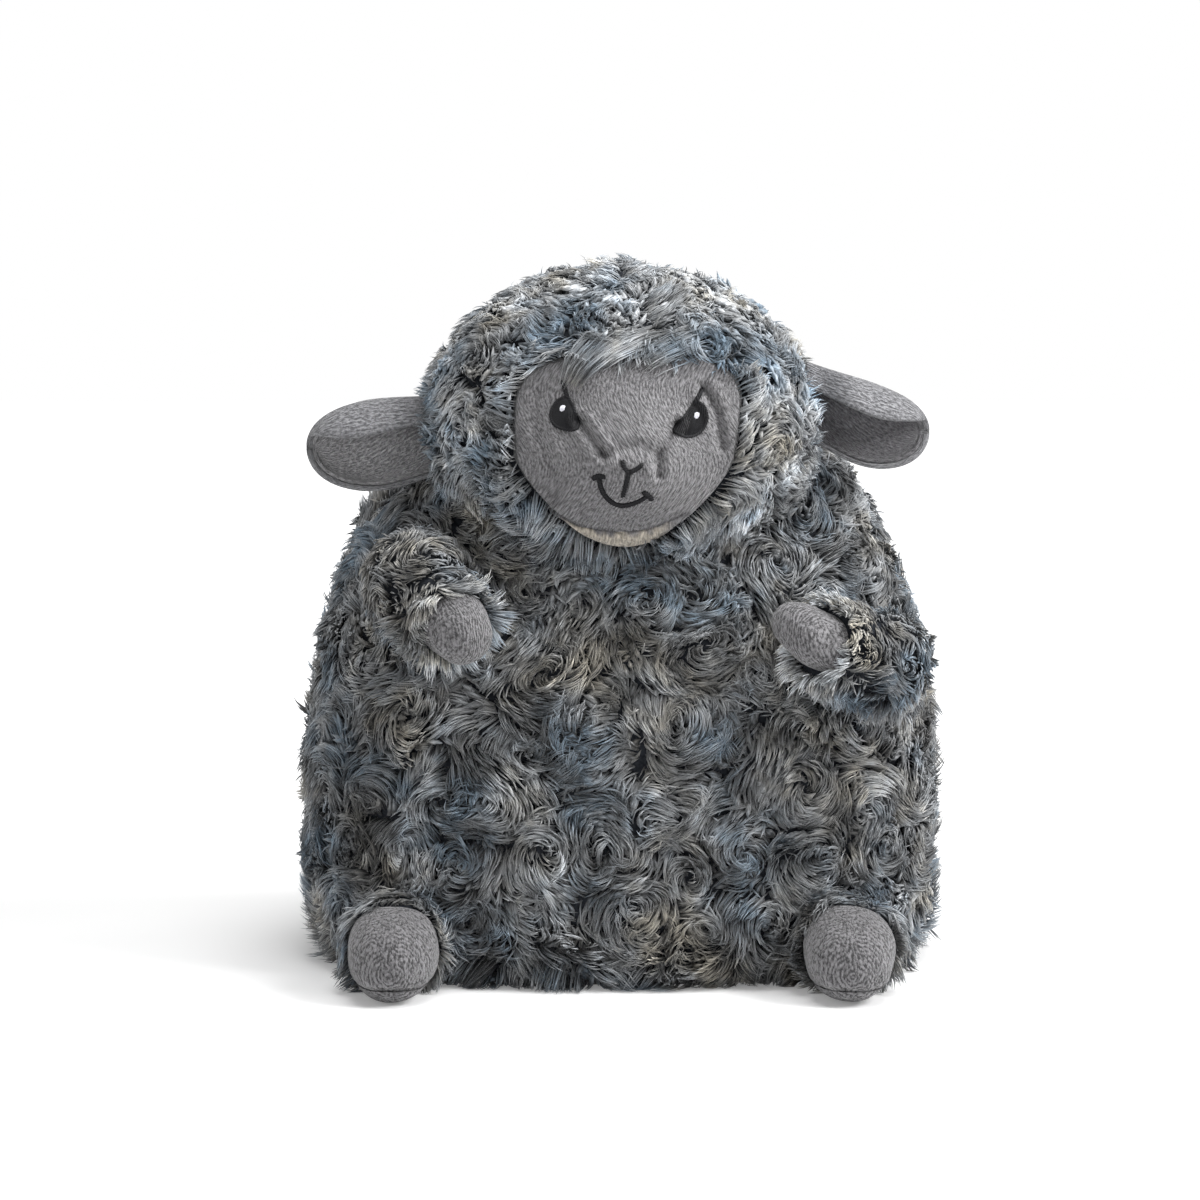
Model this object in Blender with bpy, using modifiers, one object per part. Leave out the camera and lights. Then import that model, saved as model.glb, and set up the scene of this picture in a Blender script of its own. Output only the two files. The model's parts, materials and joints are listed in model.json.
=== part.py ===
"""Plush sheep, sitting upright, made as its cut and sewn pieces with their fillings.

Metres, +Z up. The sheep looks towards -Y, and left is the side at -X. The origin is on the
floor, under the middle of the whole toy. A fabric piece is as thick as its pile, so its outer
face is where the tips of the pile lie.
"""

import math

import bmesh
import bpy
from mathutils import Matrix, Vector

# Fits: between sewn pieces that touch, and round a moving seat
SEAM_GAP = 0.0003
SEAT_GAP = 0.0008
CUT_OVERRUN = 0.020

# Thickness of each cloth with its pile
FUR_THICKNESS = 0.008
SLEEVE_THICKNESS = 0.005
VELBOA_THICKNESS = 0.0025
LINING_THICKNESS = 0.0018
THREAD_THICKNESS = 0.0008

# Body: a broad gumdrop, squarish in plan and flat underneath
BODY_HALF_WIDTH = 0.123
BODY_HALF_DEPTH = 0.090
BODY_WIDEST_HEIGHT = 0.070
BODY_TOP_HEIGHT = 0.249
BODY_TOP_SET_BACK = 0.020
BASE_FLAT_DEPTH = 0.003
BASE_THICKNESS = 0.006
SIDE_SEAM_Y = 0.006
body_plan_power = 2.6
body_upper_power = 2.0
body_lower_power = 6.0
body_lean_power = 1.5

# Whorls of the rosette pile: lumps in rows round the body, with valleys between them
WHORL_WIDTH = 0.028
WHORL_HEIGHT = 0.026
WHORL_DEPTH = 0.0045
PILE_PRESSED = 0.0010
PILE_RISE_LENGTH = 0.026
whorl_top_share = 0.5

# Bag of pellets that weighs the base down
PELLET_BAG_HALF_WIDTH = 0.074
PELLET_BAG_HALF_DEPTH = 0.052
PELLET_BAG_HEIGHT = 0.030
pellet_bag_power = 2.6
pellet_bag_flat_share = 0.12

# Head: a ball stretched sideways, which turns about its own long axis
HEAD_HALF_WIDTH = 0.076
HEAD_RADIUS = 0.060
HEAD_FORWARD = 0.035
HEAD_HEIGHT = 0.215

# Face: an egg with its narrow end down, and a soft muzzle on it
FACE_HALF_WIDTH = 0.0415
FACE_HALF_HEIGHT = 0.034
FACE_DROP = 0.011
FACE_ASIDE = 0.0015
face_taper_share = 0.30
CHIN_SEAM_DROP = 0.022
MUZZLE_HALF_WIDTH = 0.037
MUZZLE_HALF_HEIGHT = 0.031
MUZZLE_DROP = 0.013
MUZZLE_FORWARD = 0.012

# Embroidery, placed from the middle of the face
EYE_LENGTH = 0.013
EYE_BULGE = 0.0082
LEFT_EYE_TOP = (-0.0215, 0.0240)
LEFT_EYE_LEAN = math.radians(18)
RIGHT_EYE_TOP = (0.0255, 0.0215)
RIGHT_EYE_LEAN = math.radians(33)
eye_bulge_low_share = 1.5
HIGHLIGHT_RADIUS = 0.0011
highlight_down_share = 0.40
highlight_out_share = 0.40
BROW_LENGTH = 0.0055
THREAD_WIDTH = 0.0014
NOSE_MIDDLE = (0.0010, -0.0040)
NOSE_LEFT_ARM = (-0.0016, 0.0040)
NOSE_RIGHT_ARM = (0.0055, 0.0030)
NOSE_STEM = (-0.0016, -0.0085)
MOUTH_RADIUS = 0.0098
MOUTH_LIFT = 0.0018
MOUTH_START = math.radians(188)
MOUTH_END = math.radians(322)
MOUTH_TICK = 0.0040

# Ears: a leaf with its upper edge folded forward, sewn along an upright root
EAR_LENGTH = 0.048
EAR_HALF_HEIGHT = 0.0185
EAR_CUP_DEPTH = 0.0080
EAR_ROOT_RADIUS = 0.0045
EAR_ROOT_PROUD = 0.0010
EAR_FORWARD = 0.006
LEFT_EAR_RISE = -0.006
RIGHT_EAR_RISE = 0.007
LEFT_EAR_DROOP = 0.003
RIGHT_EAR_DROOP = 0.010
ear_root_height_share = 0.86
ear_widest_share = 0.55
ear_tip_power = 3.4
ear_root_pinch_share = 0.44
ear_cup_full_share = 0.35
EAR_UPPER_FOLD = math.radians(164)
EAR_LOWER_CURL = math.radians(102)
EAR_TIP_OPEN = math.radians(92)
ear_fold_end_share = 0.62
ear_ring_power = 1.3

# Arms: a fur sleeve on a round root, with a velboa paw
ARM_ROOT_RADIUS = 0.019
ARM_ROOT_SUNK = 0.005
ARM_CUFF_RADIUS = 0.0165
ARM_SLEEVE_LENGTH = 0.036
PAW_RADIUS = 0.0128
PAW_LENGTH = 0.020
LEFT_ARM_HEIGHT = 0.152
LEFT_ARM_BEARING = math.radians(36)
LEFT_ARM_REACH = (0.018, -0.049, -0.0195)
RIGHT_ARM_HEIGHT = 0.122
RIGHT_ARM_BEARING = math.radians(46)
RIGHT_ARM_REACH = (-0.029, -0.043, 0.014)

# Legs: a short fur sleeve on a round root, with a velboa foot and its sole
LEG_ROOT_RADIUS = 0.019
LEG_ROOT_SUNK = 0.005
LEG_CUFF_RADIUS = 0.0185
LEG_SLEEVE_LENGTH = 0.008
FOOT_RADIUS = 0.0182
FOOT_LENGTH = 0.028
LEG_FLOOR_CLEARANCE = 0.0010
LEG_BEARING = math.radians(36)
LEG_REACH = (0.0, -0.018, -0.0036)
SOLE_SEAM_HEIGHT = 0.0065

# Tail: a fur stub, low on the back
TAIL_ROOT_RADIUS = 0.012
TAIL_ROOT_SUNK = 0.004
TAIL_LENGTH = 0.027
TAIL_HEIGHT = 0.060
TAIL_REACH = (0.0, 0.007, -0.012)
tail_taper_share = 0.82

# Mesh fineness, in counts
BODY_SEGMENTS = 32
BODY_RINGS = 16
WHORL_STEPS = 3
OUTLINE_SAMPLES = 360
HEAD_SEGMENTS = 32
HEAD_RINGS = 18
INNER_SEGMENTS = 24
INNER_RINGS = 12
SEAT_SEGMENTS = 24
SEAT_RINGS = 12
LIMB_STEPS = 16
ROOT_ARC_POINTS = 6
TIP_ARC_POINTS = 6
SLEEVE_POINTS = 3
OUTLINE_POINTS = 32
EAR_RINGS = 9
EAR_ARC_POINTS = 12
EAR_LINING_TRIM = 1
EYE_ARC_POINTS = 12
MOUTH_POINTS = 12

MERGE_DISTANCE = 0.00001


def clear_scene():
    """Remove every object, so that the file holds only this model."""
    for thing in list(bpy.data.objects):
        bpy.data.objects.remove(thing, do_unlink=True)


def new_collection(name):
    group = bpy.data.collections.new(name)
    bpy.context.scene.collection.children.link(group)
    return group


def new_material(name, colour, roughness):
    """A cloth or thread: plain colour, rough, not metal."""
    material = bpy.data.materials.new(name)
    material.use_nodes = True
    shader = material.node_tree.nodes["Principled BSDF"]
    shader.inputs["Base Color"].default_value = (*colour, 1.0)
    shader.inputs["Roughness"].default_value = roughness
    shader.inputs["Metallic"].default_value = 0.0
    material.diffuse_color = (*colour, 1.0)
    return material


clear_scene()
PARTS = new_collection("plush_sheep")
CUTTERS = new_collection("cutters")

FUR = new_material("rosette_fur", (0.105, 0.118, 0.132), 0.95)
VELBOA = new_material("velboa", (0.175, 0.170, 0.175), 0.9)
EAR_VELBOA = new_material("ear_velboa", (0.140, 0.137, 0.145), 0.9)
LINING = new_material("ear_lining", (0.085, 0.082, 0.086), 0.9)
CHIN_VELBOA = new_material("chin_velboa", (0.300, 0.270, 0.235), 0.9)
BLACK_THREAD = new_material("black_thread", (0.018, 0.018, 0.021), 0.5)
WHITE_THREAD = new_material("white_thread", (0.80, 0.82, 0.88), 0.45)
FIBRE = new_material("fibre_filling", (0.82, 0.82, 0.80), 0.95)
PELLET_CLOTH = new_material("pellet_cloth", (0.70, 0.69, 0.66), 0.9)


def empty(name, location, parent=None):
    """A joint or a group: an empty at the place that its children turn about."""
    marker = bpy.data.objects.new(name, None)
    marker.location = location
    marker.parent = parent
    PARTS.objects.link(marker)
    return marker


def place(thing, parent, direction=None):
    """Put an object on its parent's place, with its local +Z along a direction."""
    thing.parent = parent
    if direction is not None:
        thing.rotation_mode = "QUATERNION"
        thing.rotation_quaternion = Vector(direction).to_track_quat("Z", "Y")
    return thing


def new_object(name, mesh, material=None):
    """A named part with its material, or, with no material, a cutter."""
    thing = bpy.data.objects.new(name, mesh)
    if material is None:
        thing.display_type = "WIRE"
        thing.hide_render = True
        CUTTERS.objects.link(thing)
    else:
        mesh.materials.clear()
        mesh.materials.append(material)
        PARTS.objects.link(thing)
    return thing


def cut(thing, cutter, operation="DIFFERENCE"):
    """Take the cutter away from the part, or keep or add what lies in it."""
    boolean = thing.modifiers.new(cutter.name, "BOOLEAN")
    boolean.operation = operation
    boolean.solver = "EXACT"
    boolean.object = cutter
    return thing


def ball_mesh(name, segments, rings, shape):
    """A unit sphere whose points are moved by a shape function.

    Its faces are split alike whatever the shape, so that layers inside one another never cross.
    """
    grid = bmesh.new()
    bmesh.ops.create_uvsphere(grid, u_segments=segments, v_segments=rings, radius=1)
    for vertex in grid.verts:
        vertex.co = shape(vertex.co.normalized())
    bmesh.ops.triangulate(grid, faces=grid.faces, quad_method="FIXED")
    mesh = bpy.data.meshes.new(name)
    grid.to_mesh(mesh)
    grid.free()
    mesh.shade_smooth()
    return mesh


def box(name, low, high, parent=None):
    """A cutter box between two corners."""
    grid = bmesh.new()
    bmesh.ops.create_cube(grid, size=1)
    low = Vector(low)
    high = Vector(high)
    middle = (low + high) / 2
    for vertex in grid.verts:
        vertex.co = Vector(c * (b - a) for c, a, b in zip(vertex.co, low, high))
    mesh = bpy.data.meshes.new(name)
    grid.to_mesh(mesh)
    grid.free()
    cutter = new_object(name, mesh)
    cutter.location = middle
    cutter.parent = parent
    return cutter


def cylinder(name, radius, height, segments, material=None):
    """An upright cylinder about its own origin."""
    grid = bmesh.new()
    bmesh.ops.create_cone(
        grid, cap_ends=True, segments=segments, radius1=radius, radius2=radius, depth=height
    )
    mesh = bpy.data.meshes.new(name)
    grid.to_mesh(mesh)
    grid.free()
    return new_object(name, mesh, material)


def sphere(name, radius, segments, rings, parent=None):
    """A cutter ball, finer than what turns in the seat that it cuts."""
    cutter = new_object(name, ball_mesh(name, segments, rings, lambda way: way * radius))
    cutter.parent = parent
    return cutter


def turned(name, profile, parent, direction, material=None):
    """A profile of (along, radius) turned about the local Z axis.

    The profile runs up the inside and down the outside, so that its faces point out.
    """
    mesh = bpy.data.meshes.new(name)
    points = [(radius, 0, along) for along, radius in profile]
    edges = [(i, i + 1) for i in range(len(points) - 1)]
    mesh.from_pydata(points, edges, [])
    thing = new_object(name, mesh, material)
    screw = thing.modifiers.new("turn", "SCREW")
    screw.axis = "Z"
    screw.steps = LIMB_STEPS
    screw.render_steps = LIMB_STEPS
    screw.use_merge_vertices = True
    screw.merge_threshold = MERGE_DISTANCE
    screw.use_smooth_shade = True
    return place(thing, parent, direction)


def prism(name, outline, depth, parent=None, material=None):
    """A flat outline of (across, up) points, extruded from the parent's place towards -Y."""
    curve = bpy.data.curves.new(name, "CURVE")
    curve.dimensions = "2D"
    curve.fill_mode = "BOTH"
    curve.extrude = depth / 2
    spline = curve.splines.new("POLY")
    spline.points.add(len(outline) - 1)
    for point, (across, up) in zip(spline.points, outline):
        point.co = (across, up, 0, 1)
    spline.use_cyclic_u = True
    drawn = bpy.data.objects.new(name + "_outline", curve)
    stand = Matrix.Translation((0, -depth / 2, 0)) @ Matrix.Rotation(math.radians(90), 4, "X")
    PARTS.objects.link(drawn)
    bpy.context.view_layer.update()
    graph = bpy.context.evaluated_depsgraph_get()
    mesh = bpy.data.meshes.new_from_object(drawn.evaluated_get(graph))
    bpy.data.objects.remove(drawn, do_unlink=True)
    bpy.data.curves.remove(curve)
    grid = bmesh.new()
    grid.from_mesh(mesh)
    bmesh.ops.remove_doubles(grid, verts=grid.verts, dist=MERGE_DISTANCE)
    bmesh.ops.transform(grid, matrix=stand, verts=grid.verts)
    bmesh.ops.recalc_face_normals(grid, faces=grid.faces)
    grid.to_mesh(mesh)
    grid.free()
    thing = new_object(name, mesh, material)
    thing.parent = parent
    return thing


def loft(name, rings, material=None):
    """A closed solid through closed rings of equally many points, capped at both ends.

    Each ring runs out along one side of a layer and back along the other. The faces of both
    sides are split alike, so that layers inside one another never cross.
    """
    count = len(rings[0])
    points = [point for ring in rings for point in ring]
    faces = []
    for r in range(len(rings) - 1):
        for i in range(count):
            here = r * count + i
            beside = r * count + (i + 1) % count
            if i < count / 2:
                faces.append((here, beside, beside + count))
                faces.append((here, beside + count, here + count))
            else:
                faces.append((here, beside, here + count))
                faces.append((beside, beside + count, here + count))
    faces.append(tuple(range(count)))
    last = (len(rings) - 1) * count
    faces.append(tuple(range(last, last + count)))
    mesh = bpy.data.meshes.new(name)
    mesh.from_pydata(points, [], faces)
    grid = bmesh.new()
    grid.from_mesh(mesh)
    bmesh.ops.triangulate(grid, faces=grid.faces)
    bmesh.ops.recalc_face_normals(grid, faces=grid.faces)
    grid.to_mesh(mesh)
    grid.free()
    mesh.shade_smooth()
    return new_object(name, mesh, material)


def stroke(start, end, width):
    """The outline of a straight line of stitches between two (across, up) points."""
    a = Vector(start)
    b = Vector(end)
    along = (b - a).normalized()
    side = Vector((-along.y, along.x)) * width / 2
    return [tuple(p) for p in (a - side, b - side, b + side, a + side)]


def signed_power(value, power):
    return math.copysign(abs(value) ** power, value)


# The body's form

UPPER_SPAN = BODY_TOP_HEIGHT - BODY_WIDEST_HEIGHT
LOWER_SPAN = BODY_WIDEST_HEIGHT + BASE_FLAT_DEPTH


def body_lean(height):
    """How far back the middle of the body lies at a height: none up to the widest level."""
    share = min(max((height - BODY_WIDEST_HEIGHT) / UPPER_SPAN, 0), 1)
    return BODY_TOP_SET_BACK * share**body_lean_power


def body_point(way, inset=0):
    """The point of the body's surface that a direction of the unit sphere stands for.

    Seen from the front the upper half is an ellipse and the lower half a squarer one; in
    plan each level is a superellipse. The inset draws every half size in by a cloth's thickness.
    """
    across = math.hypot(way.x, way.y)
    power = body_upper_power if way.z >= 0 else body_lower_power
    span = (UPPER_SPAN if way.z >= 0 else LOWER_SPAN) - inset
    height = BODY_WIDEST_HEIGHT + span * signed_power(way.z, 2 / power)
    width_share = across ** (2 / power)
    turn_x = signed_power(way.x / across, 2 / body_plan_power) if across else 0
    turn_y = signed_power(way.y / across, 2 / body_plan_power) if across else 0
    return Vector((
        (BODY_HALF_WIDTH - inset) * width_share * turn_x,
        (BODY_HALF_DEPTH - inset) * width_share * turn_y + body_lean(height),
        height,
    ))


def body_way(height, bearing):
    """The unit direction of the surface point at a height, turned by a bearing from the front."""
    if height >= BODY_WIDEST_HEIGHT:
        rise = ((height - BODY_WIDEST_HEIGHT) / UPPER_SPAN) ** (body_upper_power / 2)
    else:
        rise = -(((BODY_WIDEST_HEIGHT - height) / LOWER_SPAN) ** (body_lower_power / 2))
    level = math.sqrt(1 - rise**2)
    return Vector((level * math.sin(bearing), -level * math.cos(bearing), rise))


def body_normal(height, bearing):
    """The outward direction of the body's surface, from short steps across and up it."""
    step = math.radians(1)
    way = body_way(height, bearing)
    tilt_axis = way.cross(Vector((0, 0, 1))).normalized()
    across = [body_point(Matrix.Rotation(turn, 3, "Z") @ way) for turn in (-step, step)]
    upward = [body_point(Matrix.Rotation(turn, 3, tilt_axis) @ way) for turn in (-step, step)]
    return (across[1] - across[0]).cross(upward[1] - upward[0]).normalized()


def limb_pivot(height, bearing, radius, sunk, level=False):
    """The middle of a limb's round root, whose ball lies sunk in the cover by a little."""
    outward = body_normal(height, bearing)
    if level:
        outward = Vector((outward.x, outward.y, 0)).normalized()
    return body_point(body_way(height, bearing)) + outward * (radius - sunk)


LEG_PIVOT_HEIGHT = LEG_ROOT_RADIUS + LEG_FLOOR_CLEARANCE
LEFT_ARM_PIVOT = limb_pivot(LEFT_ARM_HEIGHT, -LEFT_ARM_BEARING, ARM_ROOT_RADIUS, ARM_ROOT_SUNK)
RIGHT_ARM_PIVOT = limb_pivot(RIGHT_ARM_HEIGHT, RIGHT_ARM_BEARING, ARM_ROOT_RADIUS, ARM_ROOT_SUNK)
LEFT_LEG_PIVOT = limb_pivot(LEG_PIVOT_HEIGHT, -LEG_BEARING, LEG_ROOT_RADIUS, LEG_ROOT_SUNK, True)
RIGHT_LEG_PIVOT = limb_pivot(LEG_PIVOT_HEIGHT, LEG_BEARING, LEG_ROOT_RADIUS, LEG_ROOT_SUNK, True)
TAIL_PIVOT = limb_pivot(TAIL_HEIGHT, math.radians(180), TAIL_ROOT_RADIUS, TAIL_ROOT_SUNK)
HEAD_PIVOT = Vector((0, -HEAD_FORWARD, HEAD_HEIGHT))


def smooth(share):
    """A rise from 0 to 1 that starts and ends level."""
    share = min(max(share, 0), 1)
    return share * share * (3 - 2 * share)


# The profiles of the limbs, as points of (along, radius) about their own axis

QUARTER = math.radians(90)


def arc(count, start, end, reach, radius, along=0):
    """Points on a quarter or half ellipse about the axis."""
    points = []
    for i in range(count):
        turn = start + (end - start) * i / (count - 1)
        points.append((along + reach * math.sin(turn), max(radius * math.cos(turn), 0)))
    return points


def sleeve_profile(root_radius, cuff_radius, length):
    """From the round root's pole up its side to the cuff, swelling a little on the way."""
    points = arc(ROOT_ARC_POINTS, -QUARTER, 0, root_radius, root_radius)
    for i in range(1, SLEEVE_POINTS + 1):
        share = i / SLEEVE_POINTS
        radius = root_radius + (cuff_radius - root_radius) * smooth(share)
        points.append((length * share, radius))
    return points


def tip_profile(start, length, radius):
    """From a cuff to the round tip."""
    return arc(TIP_ARC_POINTS, 0, QUARTER, length, radius, start)


def tail_profile():
    """The tail narrows from its round root to a round tip."""
    narrow = TAIL_ROOT_RADIUS * tail_taper_share
    half = TAIL_LENGTH / 2
    return sleeve_profile(TAIL_ROOT_RADIUS, narrow, half) + tip_profile(half, half, narrow)[1:]


def farthest(profile, direction, way):
    """How far a profile turned about a direction reaches along another unit direction."""
    lean = Vector(direction).normalized().dot(way)
    return max(along * lean + radius * math.sqrt(1 - lean**2) for along, radius in profile)


# The toy's middle lies between its foremost point, on a foot or a paw, and its last, at the tail
FOOT_PROFILE = tip_profile(LEG_SLEEVE_LENGTH + SEAM_GAP, FOOT_LENGTH, FOOT_RADIUS)
PAW_PROFILE = tip_profile(ARM_SLEEVE_LENGTH + SEAM_GAP, PAW_LENGTH, PAW_RADIUS)
FRONT_ENDS = (
    (LEFT_LEG_PIVOT, FOOT_PROFILE, LEG_REACH),
    (RIGHT_LEG_PIVOT, FOOT_PROFILE, LEG_REACH),
    (LEFT_ARM_PIVOT, PAW_PROFILE, LEFT_ARM_REACH),
    (RIGHT_ARM_PIVOT, PAW_PROFILE, RIGHT_ARM_REACH),
)
FRONT_Y = min(pivot.y - farthest(end, reach, Vector((0, -1, 0))) for pivot, end, reach in FRONT_ENDS)
BACK_Y = TAIL_PIVOT.y + farthest(tail_profile(), TAIL_REACH, Vector((0, 1, 0)))

SHEEP = empty("sheep", (0, -(FRONT_Y + BACK_Y) / 2, 0))
HEAD = empty("head_nod", HEAD_PIVOT, SHEEP)


# The head's form, about the head's own middle

FACE_MIDDLE = (FACE_ASIDE, -FACE_DROP)


def head_point(way, proud=0):
    """The head's ball: an ellipse turned about the sideways axis."""
    return Vector((
        way.x * (HEAD_HALF_WIDTH + proud),
        way.y * (HEAD_RADIUS + proud),
        way.z * (HEAD_RADIUS + proud),
    ))


def face_point(way, proud=0):
    """The ball with the muzzle: a smooth hump pushed forward, level with the ball round it."""
    ball = head_point(way)
    across = (ball.x - FACE_ASIDE) / MUZZLE_HALF_WIDTH
    up = (ball.z + MUZZLE_DROP) / MUZZLE_HALF_HEIGHT
    swell = max(1 - across**2 - up**2, 0) ** 2 if ball.y < 0 else 0
    return head_point(way, proud) + Vector((0, -MUZZLE_FORWARD * swell, 0))


def face_outline(grow=0):
    """The egg round the face: an ellipse whose half width shrinks towards the chin."""
    points = []
    for i in range(OUTLINE_POINTS):
        turn = math.tau * i / OUTLINE_POINTS
        up = math.sin(turn)
        taper = 1 + face_taper_share * up
        across = (FACE_HALF_WIDTH * taper + grow) * math.cos(turn)
        points.append((
            FACE_MIDDLE[0] + across,
            FACE_MIDDLE[1] + (FACE_HALF_HEIGHT + grow) * up,
        ))
    return points


def eye_outline(top, lean, side):
    """A half almond: a straight inner edge, and a bulge outwards that is fullest low down."""
    top = Vector(top) + Vector(FACE_MIDDLE)
    along = Vector((-side * math.sin(lean), -math.cos(lean)))
    out = Vector((side * math.cos(lean), -math.sin(lean)))
    points = []
    for i in range(EYE_ARC_POINTS):
        share = i / (EYE_ARC_POINTS - 1)
        bulge = EYE_BULGE * math.sin(math.pi * share**eye_bulge_low_share)
        points.append(tuple(top + along * EYE_LENGTH * share + out * bulge))
    return points


def highlight_outline(top, lean, side):
    """The small round glint, in the upper part of the eye."""
    top = Vector(top) + Vector(FACE_MIDDLE)
    along = Vector((-side * math.sin(lean), -math.cos(lean)))
    out = Vector((side * math.cos(lean), -math.sin(lean)))
    middle = top + along * EYE_LENGTH * highlight_down_share + out * EYE_BULGE * highlight_out_share
    points = []
    for i in range(EYE_ARC_POINTS):
        turn = math.tau * i / EYE_ARC_POINTS
        points.append((
            middle.x + HIGHLIGHT_RADIUS * math.cos(turn),
            middle.y + HIGHLIGHT_RADIUS * math.sin(turn),
        ))
    return points


def mouth_middle():
    return (
        FACE_MIDDLE[0] + NOSE_MIDDLE[0] + NOSE_STEM[0],
        FACE_MIDDLE[1] + NOSE_MIDDLE[1] + NOSE_STEM[1] + MOUTH_LIFT + MOUTH_RADIUS / 2,
    )


def mouth_point(turn, radius):
    middle = mouth_middle()
    return (middle[0] + radius * math.cos(turn), middle[1] + radius * math.sin(turn))


def mouth_outline():
    """The smile: an arc as wide as the thread."""
    turns = [
        MOUTH_START + (MOUTH_END - MOUTH_START) * i / (MOUTH_POINTS - 1) for i in range(MOUTH_POINTS)
    ]
    outer = [mouth_point(turn, MOUTH_RADIUS + THREAD_WIDTH / 2) for turn in turns]
    inner = [mouth_point(turn, MOUTH_RADIUS - THREAD_WIDTH / 2) for turn in reversed(turns)]
    return outer + inner


# The pile of the body's cover

ROUND_SEATS = (
    (LEFT_ARM_PIVOT, ARM_ROOT_RADIUS), (RIGHT_ARM_PIVOT, ARM_ROOT_RADIUS),
    (LEFT_LEG_PIVOT, LEG_ROOT_RADIUS), (RIGHT_LEG_PIVOT, LEG_ROOT_RADIUS),
    (TAIL_PIVOT, TAIL_ROOT_RADIUS),
)


def side_way(share, bearing):
    """The unit direction at a share of the way up the upper half's curve."""
    climb = QUARTER * share
    level = math.cos(climb)
    return Vector((level * math.sin(bearing), -level * math.cos(bearing), math.sin(climb)))


def even_shares(line, count):
    """The shares of the way along a line of points that cut its length into even steps."""
    lengths = [0]
    for a, b in zip(line, line[1:]):
        lengths.append(lengths[-1] + (b - a).length)
    shares = []
    i = 0
    for k in range(count):
        target = lengths[-1] * k / count
        while lengths[i + 1] < target:
            i += 1
        shares.append((i + (target - lengths[i]) / (lengths[i + 1] - lengths[i])) / (len(line) - 1))
    return shares


def line_length(line):
    return sum((b - a).length for a, b in zip(line, line[1:]))


def whorl_grid():
    """The directions of the cover's points: even rings, with so many steps for each whorl.

    The last row below the top is left out, because its whorls would be too narrow.
    """
    samples = range(OUTLINE_SAMPLES + 1)
    plan = [body_point(side_way(0, math.tau * i / OUTLINE_SAMPLES)) for i in samples]
    side = [body_point(side_way(i / OUTLINE_SAMPLES, QUARTER)) for i in samples]
    whorls_round = max(1, round(line_length(plan) / WHORL_WIDTH))
    upper_rows = max(2, round(line_length(side) / WHORL_HEIGHT))
    lower_rows = max(1, round(BODY_WIDEST_HEIGHT / WHORL_HEIGHT))
    bearings = [math.tau * share for share in even_shares(plan, whorls_round * WHORL_STEPS)]
    steps = lower_rows * WHORL_STEPS
    rings = [[body_way(BODY_WIDEST_HEIGHT * i / steps, b) for b in bearings] for i in range(steps)]
    for share in even_shares(side, upper_rows * WHORL_STEPS)[:-WHORL_STEPS]:
        rings.append([side_way(share, b) for b in bearings])
    return rings


def pile_share(point):
    """How far the whorls stand up at a point, as a share: they lie flat round what is seated."""
    away = point - HEAD_PIVOT
    away.x *= HEAD_RADIUS / HEAD_HALF_WIDTH
    share = smooth((away.length - HEAD_RADIUS) / PILE_RISE_LENGTH)
    for pivot, radius in ROUND_SEATS:
        share = min(share, smooth(((point - pivot).length - radius) / PILE_RISE_LENGTH))
    return share


def whorl_swell(ring, step):
    """The height of the pile at a step up and a step round: 1 mid-whorl, and 0 in the valleys.

    Each row of whorls starts one step further round than the one below it.
    """
    row, up = divmod(ring + 1, WHORL_STEPS)
    across = (step + row) % WHORL_STEPS
    return math.sqrt(math.sin(math.pi * up / WHORL_STEPS) * math.sin(math.pi * across / WHORL_STEPS))


def cover_mesh(name):
    """The body's outer form with its whorls, closed by a point at the top and one underneath."""
    grid = whorl_grid()
    count = len(grid[0])
    points = []
    for i, ring in enumerate(grid):
        for j, way in enumerate(ring):
            level = math.hypot(way.x, way.y)
            share = pile_share(body_point(way)) * smooth(level / whorl_top_share)
            valley = WHORL_DEPTH * (1 - whorl_swell(i, j))
            points.append(body_point(way, valley * share + PILE_PRESSED * (1 - share)))
    last = len(points)
    points += [Vector((0, 0, 0)), body_point(Vector((0, 0, 1)))]
    faces = []
    for j in range(count):
        beside = (j + 1) % count
        faces.append((last, beside, j))
        faces.append((last - count + j, last - count + beside, last + 1))
        for ring in range(0, last - count, count):
            faces.append((ring + j, ring + beside, ring + count + beside))
            faces.append((ring + j, ring + count + beside, ring + count + j))
    mesh = bpy.data.meshes.new(name)
    mesh.from_pydata(points, [], faces)
    mesh.shade_smooth()
    return mesh


# Body pieces

def body_solid(name, inset, segments, rings, material=None):
    solid = new_object(
        name, ball_mesh(name, segments, rings, lambda way: body_point(way, inset)), material
    )
    solid.parent = SHEEP
    return solid


REACH = BODY_HALF_WIDTH + CUT_OVERRUN
TOP_REACH = BODY_TOP_HEIGHT + CUT_OVERRUN
BODY_LINING = body_solid("body_inside", FUR_THICKNESS, INNER_SEGMENTS, INNER_RINGS)


def head_seat():
    """The hollow in the top of the body that the head's ball turns in."""
    mesh = ball_mesh(
        "head_seat", HEAD_SEGMENTS, HEAD_RINGS, lambda way: head_point(way, SEAT_GAP)
    )
    seat = new_object("head_seat", mesh)
    seat.parent = HEAD
    return seat


HEAD_SEAT = head_seat()


def limb_seat(name, pivot, radius):
    """The dish that a limb's round root turns in."""
    return sphere(name, radius + SEAT_GAP, SEAT_SEGMENTS, SEAT_RINGS, pivot)


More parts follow.
